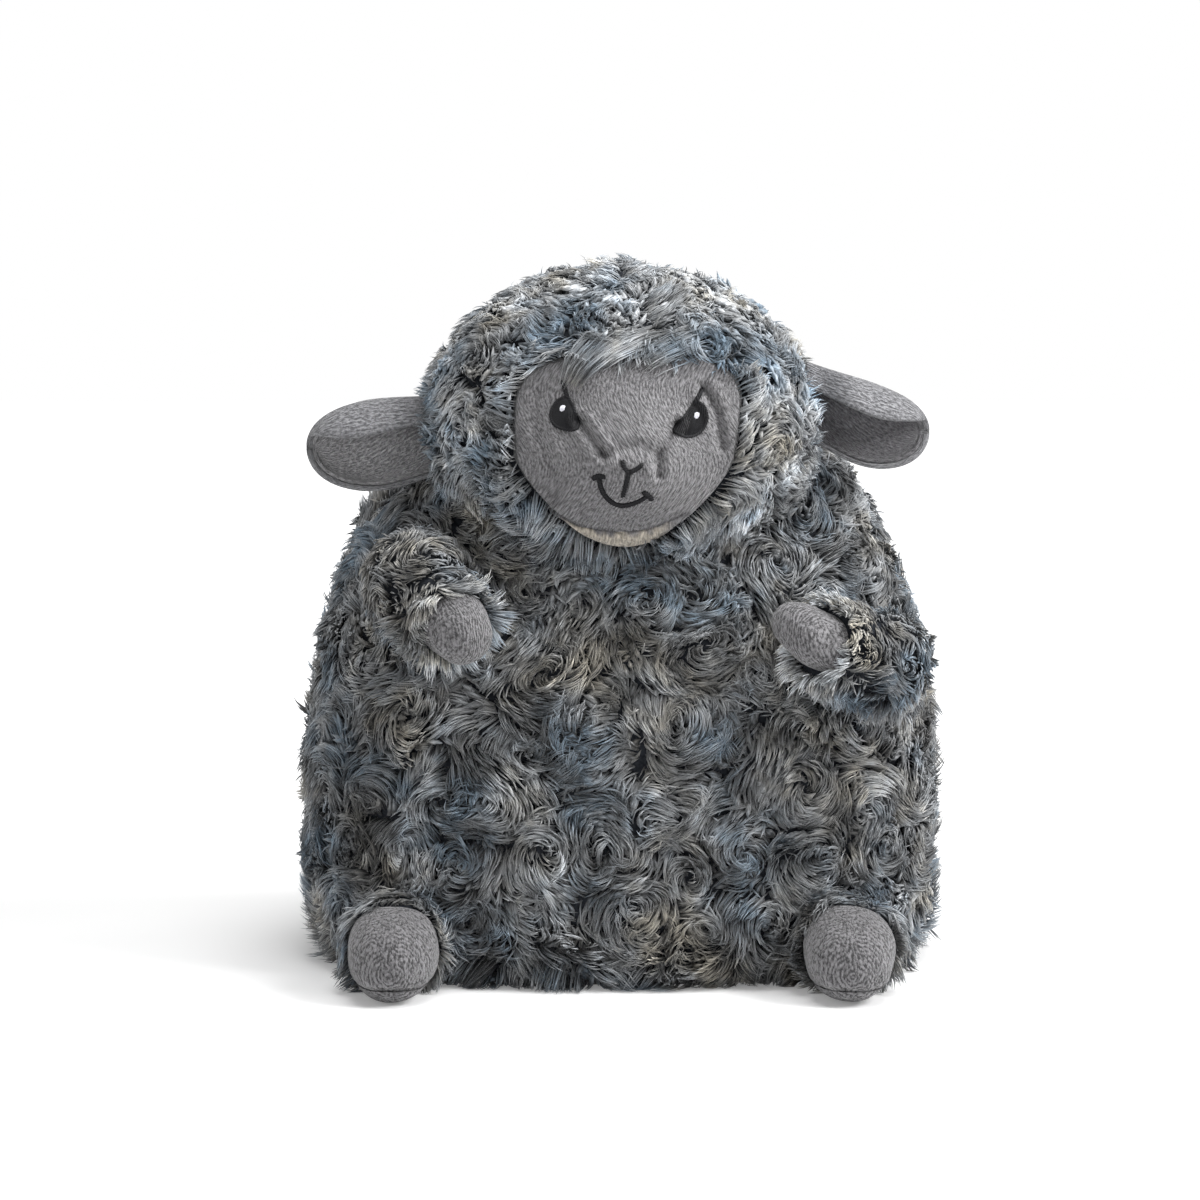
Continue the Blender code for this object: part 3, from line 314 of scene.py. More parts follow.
def group_mean(values, group):
    """The mean of the values in each one's own group, given back to each member."""
    _, group = np.unique(group, return_inverse=True)
    count = np.bincount(group)
    flat = values.reshape(len(values), -1)
    mean = np.stack([np.bincount(group, flat[:, i]) / count for i in range(flat.shape[1])], 1)
    return mean[group].reshape(values.shape)


# Meshes

def mesh_object(name, points, faces, material):
    """A new smooth-shaded piece from arrays of points and of faces with equally many corners."""
    sides = faces.shape[1]
    mesh = bpy.data.meshes.new(name)
    mesh.vertices.add(len(points))
    mesh.vertices.foreach_set("co", np.ascontiguousarray(points, np.float32).ravel())
    mesh.loops.add(faces.size)
    mesh.loops.foreach_set("vertex_index", np.ascontiguousarray(faces, np.int32).ravel())
    mesh.polygons.add(len(faces))
    mesh.polygons.foreach_set("loop_start", np.arange(0, faces.size, sides, dtype=np.int32))
    mesh.update(calc_edges=True)
    mesh.validate()
    mesh.shade_smooth()
    mesh.materials.append(material)
    piece = bpy.data.objects.new(name, mesh)
    bpy.context.scene.collection.objects.link(piece)
    return piece


def add_attribute(piece, name, values):
    """One number for each corner point of a piece, which its material reads by name."""
    attribute = piece.data.attributes.new(name, "FLOAT", "POINT")
    attribute.data.foreach_set("value", np.ascontiguousarray(values, np.float32).ravel())


def belongs(piece, body, replaced=()):
    """The body a piece rides on, and the solids it stands for, which are hidden."""
    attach(piece, body)
    if replaced:
        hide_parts(*replaced)


def grid_faces(rows, columns, wrap=False):
    """Quads of a grid of points. A wrapped grid closes on itself along its columns."""
    i, j = np.meshgrid(np.arange(rows - 1), np.arange(columns - (not wrap)), indexing="ij")
    k = (j + 1) % columns
    here = i * columns
    above = here + columns
    return np.stack([here + j, here + k, above + k, above + j], -1).reshape(-1, 4)


def facing_out(points, faces):
    """The triangles turned so that the surface has a positive volume."""
    corner = points[faces]
    volume = (corner[:, 0] * np.cross(corner[:, 1], corner[:, 2])).sum()
    return faces if volume > 0 else faces[:, ::-1]


def in_triangles(quads):
    """Each quad as two triangles."""
    return np.vstack([quads[:, [0, 1, 2]], quads[:, [0, 2, 3]]])


def with_ends(grid):
    """The values of a grid of rings in one list, with the means of the first and last ring."""
    values = grid.reshape(-1, grid.shape[-1])
    columns = grid.shape[1]
    return np.vstack([values, values[:columns].mean(0), values[-columns:].mean(0)])


def add_pile(piece, places, rows):
    """Where each corner lies in the cloth's own pattern, in metres, and in which row of loops."""
    attribute = piece.data.attributes.new("pile", "FLOAT_VECTOR", "POINT")
    attribute.data.foreach_set("vector", np.ascontiguousarray(places, np.float32).ravel())
    add_attribute(piece, "row", rows)


def closed_grid(name, grid, material):
    """A closed surface from a grid of rings, its first and last ring drawn to their means."""
    rows, columns = grid.shape[:2]
    points = with_ends(grid)
    around = np.arange(columns)
    beside = (around + 1) % columns
    start = (rows - 1) * columns
    tip = rows * columns
    faces = np.vstack([
        in_triangles(grid_faces(rows, columns, True)),
        np.stack([beside, around, np.full(columns, tip)], 1),
        np.stack([start + around, start + beside, np.full(columns, tip + 1)], 1),
    ])
    return mesh_object(name, points, facing_out(points, faces), material)


def slab(name, outer, inner, material):
    """A closed sheet between two grids of points, with strips along its four edges."""
    rows, columns = outer.shape[:2]
    index = np.arange(rows * columns).reshape(rows, columns)
    over = rows * columns
    rim = np.concatenate([index[0, :-1], index[:-1, -1], index[-1, :0:-1], index[:0:-1, 0]])
    after = np.roll(rim, -1)
    quads = np.vstack([
        grid_faces(rows, columns),
        grid_faces(rows, columns)[:, ::-1] + over,
        np.stack([after, rim, rim + over, after + over], 1),
    ])
    points = np.vstack([outer.reshape(-1, 3), inner.reshape(-1, 3)])
    return mesh_object(name, points, facing_out(points, in_triangles(quads)), material)


def tubes(name, paths, outward, half_width, half_height, material, sides=6):
    """Closed threads along their paths: rings of flattened ovals, drawn to the end points."""
    count, stations = paths.shape[:2]
    along = unit(np.gradient(paths, axis=1))
    side = unit(np.cross(along, outward))
    rise = unit(np.cross(side, along))
    turn = np.arange(sides) / sides * math.tau
    swell = np.sqrt(1 - np.linspace(-0.93, 0.93, stations) ** 8)[None, :, None, None]
    ring = side[:, :, None] * np.cos(turn)[:, None] * half_width
    ring = ring + rise[:, :, None] * np.sin(turn)[:, None] * half_height
    rings = paths[:, :, None] + ring * swell
    near_end = paths[:, 0] - along[:, 0] * half_height
    far_end = paths[:, -1] + along[:, -1] * half_height
    points = np.concatenate([rings.reshape(count, -1, 3), np.stack([near_end, far_end], 1)], 1)
    per = points.shape[1]
    around = np.arange(sides)
    beside = (around + 1) % sides
    last = (stations - 1) * sides
    faces = np.vstack([
        in_triangles(grid_faces(stations, sides, True)),
        np.stack([beside, around, np.full(sides, per - 2)], 1),
        np.stack([last + around, last + beside, np.full(sides, per - 1)], 1),
    ])
    faces = facing_out(points[0], faces)
    all_faces = (faces[None] + (np.arange(count) * per)[:, None, None]).reshape(-1, 3)
    return mesh_object(name, points.reshape(-1, 3), all_faces, material)


# Strands of pile

def strand_template(rings):
    """The faces and the bake cell of one strand: three-sided rings, a root face and a tip."""
    faces = [(0, 2, 1)]
    corners = [(0.30, 0.02), (0.60, 0.02), (0.45, 0.05)]
    top = 3 * rings
    for ring in range(rings):
        low = 0.08 + 0.90 * ring / rings
        high = 0.08 + 0.90 * (ring + 1) / rings
        for side in range(3):
            a = 3 * ring + side
            b = 3 * ring + (side + 1) % 3
            left = 0.03 + side * 0.32
            right = left + 0.28
            if ring == rings - 1:
                faces.append((a, b, top))
                corners += [(left, low), (right, low), ((left + right) / 2, high)]
            else:
                faces += [(a, b, b + 3), (a, b + 3, a + 3)]
                corners += [(left, low), (right, low), (right, high)]
                corners += [(left, low), (right, high), (left, high)]
    return np.array(faces), np.array(corners)


def strands(name, paths, outward, width, material, shade, flat=0.55):
    """Tapered strands along their paths, each closed, with three flattish sides.

    A ring's corners lie to both sides of the path and above it, so that the broad sides face
    out. The width swells from the root and runs out at the tip.
    """
    count, stations = paths.shape[:2]
    rings = stations - 1
    along = np.gradient(paths, axis=1)
    side = unit(np.cross(along, outward[:, None]))
    rise = unit(np.cross(side, along))
    share = np.arange(rings) / rings
    profile = (0.70 + 0.30 * np.sin(math.pi * share)) * (1 - share**3)
    half = (width[:, None] * profile / 2)[..., None]
    ring_paths = paths[:, :rings]
    side = side[:, :rings] * half
    rise = rise[:, :rings] * half * flat
    corner = np.stack([ring_paths + side - rise, ring_paths - side - rise, ring_paths + rise * 1.4], 2)
    points = np.concatenate([corner.reshape(count, -1, 3), paths[:, -1:]], 1)
    per = points.shape[1]
    faces, corners = strand_template(rings)
    all_faces = (faces[None] + (np.arange(count) * per)[:, None, None]).reshape(-1, 3)
    piece = mesh_object(name, points.reshape(-1, 3), all_faces, material)
    level = np.append(np.repeat(share, 3), 1.0)
    add_attribute(piece, "along", np.tile(level, count))
    add_attribute(piece, "shade", np.repeat(shade, per))
    add_attribute(piece, "across", np.tile(np.append(np.tile([1.0, -1.0, 0.0], rings), 0.0), count))
    cells = math.ceil(math.sqrt(count))
    cell = np.stack([np.arange(count) % cells, np.arange(count) // cells], 1)[:, None]
    layout = piece.data.uv_layers.new(name="OFBake")
    layout.data.foreach_set("uv", ((cell + corners[None]) / cells).astype(np.float32).ravel())
    return piece


def grow(roots, normals, centres, seed, length, lean=(0.75, 1.48), swirl=1.0, comb=None,
         segments=STRAND_SEGMENTS, stand=0.0, curl=0.0):
    """The paths of rosette pile, and how light each strand is.

    Each strand follows the whorl round its nearest centre, with both moved by smooth noise so
    that the whorls are uneven. It runs round the centre and a little inwards, and leans over
    further from the backing the longer it gets. A lock is a stretch of a spiral band round the
    centre: it stands up along its middle line, and its strands are drawn together a little
    towards their tips. A few stray strands go their own way.
    """
    rng = np.random.default_rng(seed)
    drift = np.stack([wave_noise(roots, 23 * MM, k) for k in (201, 202, 203)], 1) * WHORL_DRIFT
    whorl = nearest(roots + drift, centres)
    kinds = len(centres)
    hand = np.where(rng.random(kinds) < CLOCKWISE_SHARE, 1.0, -1.0)[whorl]
    size = rng.uniform(*WHORL_SIZES, kinds)[whorl]
    centre = centres[whorl] - drift
    away = roots - centre
    away = away - normals * dot(away, normals)
    radius = np.linalg.norm(away, axis=1)
    reference = unit(np.cross(normals, np.array([0.31, 0.22, 0.93])))
    across = np.cross(normals, reference)
    turns = np.arctan2(dot(away, across)[:, 0], dot(away, reference)[:, 0]) / math.tau
    phase = radius / (BAND_WIDTH * size) - hand * turns + rng.random(kinds)[whorl]
    phase = phase + 0.30 * wave_noise(roots, 9 * MM, seed % 10 + 7)
    band = np.floor(phase).astype(int)
    ridge = 4 * (phase - band) * (1 - phase + band)
    arms = 3 + 2 * np.clip(band, 0, 4)
    arm = np.floor((turns + 0.5 + rng.random((kinds, 8))[whorl, band % 8]) * arms).astype(int)
    _, lock = np.unique(whorl * 1000 + (band + 3) * 60 + arm % 60, return_inverse=True)
    locks = lock.max() + 1
    lock_turn = rng.normal(0, LOCK_TURN, locks)[lock][:, None]
    lock_lean = rng.normal(0, LOCK_LEAN, locks)[lock][:, None]
    lock_phase = rng.uniform(0, math.tau, locks)[lock][:, None]
    lock_length = rng.uniform(*LOCK_LENGTHS, locks)[lock][:, None]
    flow = np.stack([wave_noise(roots, FLOW_SIZE, seed % 10 + k) for k in (101, 102, 103)], 1)
    flow = flow - normals * dot(flow, normals) + np.array([0.0, 0.0, -FLOW_DROP])
    comb = flow * FLOW_SHARE if comb is None else comb + flow * FLOW_SHARE
    strength = rng.uniform(*WHORL_STRENGTHS, kinds)[whorl][:, None] * swirl
    stray = (rng.random(len(roots)) < STRAY_SHARE)[:, None]
    astray, steady = (rng.normal(0, spread, (len(roots), 1)) for spread in (1.0, 0.10))
    own_turn = np.where(stray, astray, steady)
    far = np.clip(radius / (WHORL_REACH * size), 0, 1.2)[:, None]
    reach = length * lock_length * rng.uniform(*STRAND_LENGTHS, (len(roots), 1)) * (1 - 0.3 * stray)
    reach = reach * (0.62 + 0.5 * far - 0.22 * far**3)
    hand = hand[:, None]
    place = roots + normals * ((ridge - 0.5) * RIDGE_HEIGHT)[:, None]
    path = [place]
    for step in range(segments):
        share = (step + 0.5) / segments
        offset = place - centre
        offset = offset - normals * dot(offset, normals)
        radial = unit(offset)
        round_way = hand * np.cross(normals, radial)
        turn = -0.10 + 0.40 * far + lock_turn + own_turn + curl * np.sin(math.tau * share + lock_phase)
        way = round_way * np.cos(turn) - radial * np.sin(turn)
        way = unit(way * strength + comb * 0.75)
        tilt = lean[0] + (lean[1] - lean[0]) * share**0.75 + lock_lean - 0.12 * (1 - far)
        tilt = (tilt - 0.40 * stray) * (1 - stand)
        heading = normals * np.cos(tilt) + way * np.sin(tilt)
        place = place + heading * reach / segments
        path.append(place)
    paths = np.stack(path, 1)
    drawn = group_mean(paths, lock)
    pull = (np.linspace(0, 1, segments + 1) ** 1.4 * LOCK_DRAW)[None, :, None]
    paths = paths + (drawn - paths) * np.where(stray, 0, 1)[:, :, None] * pull
    paths[..., 2] = np.maximum(paths[..., 2], STRAND_CLEARANCE)
    # A strand's shade is random tone by lock, strand and whorl, plus painted shade that darkens the low
    # edges of its spiral band.
    shade = rng.beta(1.0, 1.6, locks)[lock] * 0.66 + ridge * 0.20 + rng.random(len(roots)) * 0.09
    shade = shade + rng.uniform(*WHORL_SHADES, kinds)[whorl]
    return paths, shade


# Materials

def new_material(name):
    """A new material with its nodes and links."""
    material = bpy.data.materials.new(name)
    material.use_nodes = True
    return material, material.node_tree.nodes, material.node_tree.links


def srgb(red, green, blue):
    """A linear colour from the 0 to 255 levels that it looks like."""
    def linear(level):
        level = level / 255
        return level / 12.92 if level <= 0.04045 else ((level + 0.055) / 1.055) ** 2.4
    return (linear(red), linear(green), linear(blue), 1.0)


def new_group(name, inputs, outputs):
    """An empty shader node group with typed inputs (name, kind, default) and outputs."""
    group = bpy.data.node_groups.new(name, "ShaderNodeTree")
    for label, kind, default in inputs:
        socket = group.interface.new_socket(label, in_out="INPUT", socket_type=kind)
        socket.default_value = default
    for label, kind in outputs:
        group.interface.new_socket(label, in_out="OUTPUT", socket_type=kind)
    source = group.nodes.new("NodeGroupInput")
    sink = group.nodes.new("NodeGroupOutput")
    return group, source, sink


def maths(nodes, links, operation, a, b=None, clamp=False):
    """One Math node whose inputs are sockets or numbers."""
    node = nodes.new("ShaderNodeMath")
    node.operation = operation
    node.use_clamp = clamp
    for socket, value in zip(node.inputs, (a, b)):
        if value is None:
            continue
        if isinstance(value, (int, float)):
            socket.default_value = value
        else:
            links.new(value, socket)
    return node.outputs[0]


def stretched(nodes, links, value, level, gain, clamp=False):
    """How far a value lies over a level, times a gain."""
    return maths(nodes, links, "MULTIPLY", maths(nodes, links, "SUBTRACT", value, level), gain, clamp)


def plus_share(nodes, links, value, gain, rest):
    """A value times a gain, added to the rest."""
    return maths(nodes, links, "ADD", maths(nodes, links, "MULTIPLY", value, gain), rest)


def mixed(nodes, links, factor, a, b, blend="MIX"):
    """One colour Mix node whose inputs are sockets or plain values."""
    node = nodes.new("ShaderNodeMix")
    node.data_type = "RGBA"
    node.blend_type = blend
    for socket, value in ((node.inputs[0], factor), (node.inputs[6], a), (node.inputs[7], b)):
        if isinstance(value, (int, float, tuple)):
            socket.default_value = value
        else:
            links.new(value, socket)
    return node.outputs[2]


def shaded(nodes, links, colour, level):
    """A colour multiplied by a grey of a level."""
    grey = nodes.new("ShaderNodeCombineColor")
    for socket in grey.inputs:
        links.new(level, socket)
    return mixed(nodes, links, 1.0, colour, grey.outputs[0], "MULTIPLY")


def object_place(nodes):
    """The place on the piece, in its own metres."""
    return nodes.new("ShaderNodeTexCoord").outputs["Object"]


def noise(nodes, links, vector, scale, detail=2.0, roughness=0.5):
    """One Noise Texture node's value, read at a place."""
    node = nodes.new("ShaderNodeTexNoise")
    node.inputs["Scale"].default_value = scale
    node.inputs["Detail"].default_value = detail
    node.inputs["Roughness"].default_value = roughness
    links.new(vector, node.inputs["Vector"])
    return node.outputs["Fac"]


def ramp(nodes, links, factor, stops):
    """A colour ramp through (place, colour) stops."""
    node = nodes.new("ShaderNodeValToRGB")
    line = node.color_ramp
    while len(line.elements) < len(stops):
        line.elements.new(0.5)
    for element, (place, colour) in zip(line.elements, stops):
        element.position = place
        element.color = colour
    links.new(factor, node.inputs[0])
    return node.outputs[0]


def attribute(nodes, name):
    """A number that the mesh carries."""
    node = nodes.new("ShaderNodeAttribute")
    node.attribute_name = name
    return node.outputs["Fac"]


def dye_group():
    """The variegated dye of the rosette pile: blotches from slate blue over grey to warm grey."""
    group, source, sink = new_group("variegated_dye", [
        ("Blue", "NodeSocketColor", srgb(78, 91, 102)),
        ("Grey", "NodeSocketColor", srgb(113, 115, 117)),
        ("Warm", "NodeSocketColor", srgb(122, 118, 109)),
    ], [("Color", "NodeSocketColor"), ("Value", "NodeSocketFloat"), ("Streak", "NodeSocketFloat")])
    nodes, links = group.nodes, group.links
    place = object_place(nodes)
    broad = noise(nodes, links, place, 32.0, 2.0)
    fine = noise(nodes, links, place, 120.0, 2.0)
    hue = plus_share(nodes, links, broad, 0.75, maths(nodes, links, "MULTIPLY", fine, 0.25))
    blue_share = stretched(nodes, links, 0.50, hue, 7.0, True)
    warm_share = stretched(nodes, links, hue, 0.52, 7.0, True)
    colour = mixed(nodes, links, blue_share, source.outputs["Grey"], source.outputs["Blue"])
    colour = mixed(nodes, links, warm_share, colour, source.outputs["Warm"])
    links.new(colour, sink.inputs["Color"])
    links.new(noise(nodes, links, place, 55.0, 3.0), sink.inputs["Value"])
    along, across, shade = (attribute(nodes, name) for name in ("along", "across", "shade"))
    strand = nodes.new("ShaderNodeCombineXYZ")
    links.new(plus_share(nodes, links, shade, 90.0, across), strand.inputs[0])
    links.new(maths(nodes, links, "MULTIPLY", along, 0.8), strand.inputs[1])
    streak = noise(nodes, links, strand.outputs[0], 3.6, 2.0, 0.6)
    streak = stretched(nodes, links, streak, 0.5, 3.2)
    links.new(maths(nodes, links, "ADD", streak, 1.0), sink.inputs["Streak"])
    return group


DYE = dye_group()


def fur_material(name, light=1.8, root=0.18, blotches=4.2, gloss=0.5):
    """Pile fibre: the dye, with painted shade towards the root deep in the pile, paler at the tip."""
    material, nodes, links = new_material(name)
    shader = nodes["Principled BSDF"]
    dye = nodes.new("ShaderNodeGroup")
    dye.node_tree = DYE
    # Each strand's shade: random tone by lock, strand and whorl, with painted shade at its band's low
    # edges.
    lift = plus_share(nodes, links, attribute(nodes, "shade"), 1.55, 0.22)
    blotch = stretched(nodes, links, dye.outputs["Value"], 0.5, blotches)
    blotch = maths(nodes, links, "MAXIMUM", maths(nodes, links, "ADD", blotch, 1.0), 0.3)
    blotch = maths(nodes, links, "MULTIPLY", blotch, dye.outputs["Streak"])
    # Painted shade: darker towards the root, deep in the pile.
    climb = maths(nodes, links, "POWER", attribute(nodes, "along"), 1.3)
    climb = plus_share(nodes, links, climb, 1.15 - root, root)
    level = maths(nodes, links, "MULTIPLY", maths(nodes, links, "MULTIPLY", lift, blotch), climb)
    # The light gain makes lit and shaded copies of one fur, which are painted light and painted shade.
    level = maths(nodes, links, "MULTIPLY", level, light)
    links.new(shaded(nodes, links, dye.outputs["Color"], level), shader.inputs["Base Color"])
    shader.inputs["Roughness"].default_value = 0.45
    shader.inputs["Specular IOR Level"].default_value = gloss
    shader.inputs["Sheen Weight"].default_value = 0.25
    shader.inputs["Sheen Roughness"].default_value = 0.45
    return material


def shaded_backing_material():
    """The knitted backing deep in the pile, drawn nearly black as painted shade, with a fine knit."""
    material, nodes, links = new_material("pile_backing")
    shader = nodes["Principled BSDF"]
    place = object_place(nodes)
    grain = noise(nodes, links, place, 900.0, 2.0)
    colour = ramp(nodes, links, grain, [(0.3, srgb(22, 24, 28)), (0.7, srgb(46, 49, 54))])
    links.new(colour, shader.inputs["Base Color"])
    shader.inputs["Roughness"].default_value = 0.9
    shader.inputs["Specular IOR Level"].default_value = 0.1
    return material


def short_pile_group():
    """Short pile: dashes of lit fibre tips along the pile, in rows that show in patches."""
    group, source, sink = new_group("short_pile", [
        ("Rows", "NodeSocketFloat", 1.0),
        ("Contrast", "NodeSocketFloat", 1.0),
    ], [("Value", "NodeSocketFloat"), ("Height", "NodeSocketFloat")])
    nodes, links = group.nodes, group.links
    node = nodes.new("ShaderNodeAttribute")
    node.attribute_name = "pile"
    place = node.outputs["Vector"]
    dashes = noise(nodes, links, place, 1250.0, 2.0, 0.6)
    drift = noise(nodes, links, place, 260.0, 1.0)
    patches = noise(nodes, links, place, 110.0, 1.0)
    row = plus_share(nodes, links, drift, 2.6, attribute(nodes, "row"))
    wave = maths(nodes, links, "SINE", maths(nodes, links, "MULTIPLY", row, math.tau))
    patch = stretched(nodes, links, patches, 0.38, 5.0, True)
    wave = maths(nodes, links, "MULTIPLY", wave, patch)
    wave = maths(nodes, links, "MULTIPLY", wave, source.outputs["Rows"])
    steep = stretched(nodes, links, dashes, 0.5, 3.6)
    level = maths(nodes, links, "ADD", plus_share(nodes, links, wave, 0.22, steep), 0.5, True)
    broad = stretched(nodes, links, patches, 0.5, 0.5)
    value = maths(nodes, links, "ADD", stretched(nodes, links, level, 0.5, 1.6), broad)
    value = maths(nodes, links, "MULTIPLY", value, source.outputs["Contrast"])
    links.new(maths(nodes, links, "ADD", value, 1.0), sink.inputs["Value"])
    links.new(level, sink.inputs["Height"])
    return group


SHORT_PILE = short_pile_group()


def velboa_material(name, colour, contrast=0.7, rows=1.0, beside=None):
    """Short-pile plush: dashes of lit and shaded fibre tips, a soft edge sheen and a fine bump.

    With a colour beside it, the cloth fades from that colour by its attribute "fade".
    """
    material, nodes, links = new_material(name)
    shader = nodes["Principled BSDF"]
    pile = nodes.new("ShaderNodeGroup")
    pile.node_tree = SHORT_PILE
    pile.inputs["Rows"].default_value = rows
    pile.inputs["Contrast"].default_value = contrast
    if beside is not None:
        colour = mixed(nodes, links, attribute(nodes, "fade"), beside, colour)
    links.new(shaded(nodes, links, colour, pile.outputs["Value"]), shader.inputs["Base Color"])
    bump = nodes.new("ShaderNodeBump")
    bump.inputs["Distance"].default_value = 0.0006
    bump.inputs["Strength"].default_value = 0.9
    links.new(pile.outputs["Height"], bump.inputs["Height"])
    links.new(bump.outputs[0], shader.inputs["Normal"])
    shader.inputs["Roughness"].default_value = 0.85
    shader.inputs["Specular IOR Level"].default_value = 0.2
    shader.inputs["Sheen Weight"].default_value = 0.35
    shader.inputs["Sheen Roughness"].default_value = 0.4
    return material


def thread_material(name, dark, light):
    """Embroidery thread: fine twisted plies with a silky shine."""
    material, nodes, links = new_material(name)
    shader = nodes["Principled BSDF"]
    place = object_place(nodes)
    twist = noise(nodes, links, place, 2600.0, 1.0)
    links.new(ramp(nodes, links, twist, [(0.35, dark), (0.65, light)]), shader.inputs["Base Color"])
    shader.inputs["Roughness"].default_value = 0.55
    shader.inputs["Specular IOR Level"].default_value = 0.25
    return material


def fibre_material(name, low, high):
    """Loose polyester fibre: pale, with cloudy wisps."""
    material, nodes, links = new_material(name)
    shader = nodes["Principled BSDF"]
    place = object_place(nodes)
    wisps = noise(nodes, links, place, 260.0, 4.0, 0.65)
    links.new(ramp(nodes, links, wisps, [(0.3, low), (0.7, high)]), shader.inputs["Base Color"])
    shader.inputs["Roughness"].default_value = 0.9
    return material


FACE_GREY = srgb(120, 119, 121)
FACE_VELBOA = velboa_material("face_velboa", FACE_GREY)
VELBOA = velboa_material("velboa", srgb(110, 109, 111), 0.8, 1.6)
CHIN_VELBOA = velboa_material("chin_velboa", srgb(180, 172, 160), 0.45, 0.6, FACE_GREY)
# Painted light: the ears' outer cloth is the face's short pile, drawn paler for the light that falls on
# the folds from above.
LIT_EAR_VELBOA = velboa_material("ear_velboa", srgb(136, 136, 139), 0.6)
# Both linings are one cloth: the left is drawn paler as painted light and the right darker as painted
# shade inside its pocket.
EAR_LININGS_LIT_AND_SHADED = {
    "left": velboa_material("left_ear_lining", srgb(150, 149, 151), 0.6),
    "right": velboa_material("right_ear_lining", srgb(104, 103, 106), 0.6),
}
BLACK_THREAD = thread_material("black_thread", srgb(7, 7, 9), srgb(24, 24, 28))
WHITE_THREAD = thread_material("white_thread", srgb(215, 215, 228), srgb(250, 250, 255))
FIBRE = fibre_material("fibre_filling", srgb(196, 196, 192), srgb(236, 236, 232))
PELLET_CLOTH = fibre_material("pellet_cloth", srgb(150, 148, 142), srgb(184, 182, 176))
FUR = fur_material("rosette_fur")
# Painted light: a brighter copy of the same rosette fur, less dark at the root, for the light from
# above on the hood and the fringe; the cuffs' pale tufts use it too.
LIT_FUR = fur_material("hood_fur", light=2.5, root=0.48, blotches=3.2, gloss=0.35)
# Painted shade: a darker copy of the same rosette fur for the underfur between the locks.
SHADED_UNDERFUR = fur_material("underfur", light=1.15, root=0.35)
# The backing's near-black is painted shade deep in the pile.
SHADED_BACKING = shaded_backing_material()


# The body's covers

def section(surface, low, high):
    """The part of a surface between two (u, v) corners, as a surface of its own."""
    def part(u, v):
        return surface(low[0] + (high[0] - low[0]) * u, low[1] + (high[1] - low[1]) * v)
    return part


SEATS = [(PIVOT[name], radius) for name, radius in (
    ("left_arm_swing", ARM_ROOT), ("right_arm_swing", ARM_ROOT),
    ("left_leg_lift", LEG_ROOT), ("right_leg_lift", LEG_ROOT), ("tail_swing", TAIL_ROOT),
)]


def clear_of_seats(points, margin):
    """Whether points lie outside every limb's round root, less a margin."""
    free = np.ones(len(points), bool)
    for middle, radius in SEATS:
        free &= np.linalg.norm(points - middle, axis=1) > radius - margin
    return free


def even_shares(line):
    """How far along a dense line of points each one lies, as a share of the line's length."""
    length = np.concatenate([[0], np.cumsum(np.linalg.norm(np.diff(line, axis=0), axis=1))])
    return length / length[-1], length[-1]


def whorl_centres():
    """The middles of the body's whorls, in the same rows as the lumps of the solid cover.

    Rows and places in a row are even in length up the side and round the plan. Each row starts
    a third of a whorl further round, and every middle is moved a little at random.
    """
    share = np.linspace(0, 1, 721)
    climb = BODY_LOWER_SHARE + (1 - BODY_LOWER_SHARE) * share
    plan, plan_length = even_shares(body_surface(np.full(721, BODY_LOWER_SHARE), 0.5 + share))
    side, side_length = even_shares(body_surface(climb, np.full(721, 0.75)))
    whorls_round = round(plan_length / WHORL_WIDTH)
    lower = round(BODY_WIDEST / WHORL_HEIGHT)
    upper = round(side_length / WHORL_HEIGHT)
    row, place = np.meshgrid(np.arange(lower + upper), np.arange(whorls_round), indexing="ij")
    rng = np.random.default_rng(5)
    level = row + 0.5 / WHORL_STEPS + rng.normal(0, 0.20, row.shape)
    turn = place + 0.5 - row / WHORL_STEPS + rng.normal(0, 0.22, row.shape)
    low_u = BODY_LOWER_SHARE * level / lower
    high_u = BODY_LOWER_SHARE + (1 - BODY_LOWER_SHARE) * np.interp((level - lower) / upper, side, share)
    u = np.where(level < lower, low_u, high_u).clip(0, 1)
    v = 0.5 + np.interp(turn / whorls_round % 1, plan, share)
    return spaced(body_surface(u, v).reshape(-1, 3), WHORL_SPACING)


BODY_CENTRES = whorl_centres()


def underfur(name, body, surface, keep, centres, seed, material, replaced):
    """The dense short pile between the locks: broad flat strands that lie down in the whorls."""
    roots, normals = scatter(surface, UNDERFUR_PER_CM2, seed)
    chosen = keep(roots)
    roots, normals = roots[chosen], normals[chosen]
    roots = roots + normals * (lumps(roots, centres) - ROOT_INSET)[:, None]
    paths, shade = grow(roots, normals, centres, seed, UNDERCOAT_PILE, lean=(1.05, 1.5), segments=2)
    width = np.random.default_rng(seed + 1).uniform(2.0, 3.2, len(roots)) * MM
    in_pieces(name, body, paths, normals, width, shade, material, replaced)


def in_pieces(name, body, paths, outward, width, shade, material, replaced=()):
    """Strands as one piece, or as several from the floor up where they are too many for one."""
    order = np.argsort(paths[:, 0, 2], kind="stable")
    blocks = np.array_split(order, max(1, math.ceil(len(order) / STRANDS_PER_PIECE)))
    for number, block in enumerate(blocks):
        label = name if len(blocks) == 1 else f"{name}_{number + 1}"
        piece = strands(label, paths[block], outward[block], width[block], material, shade[block])
        belongs(piece, body, replaced)


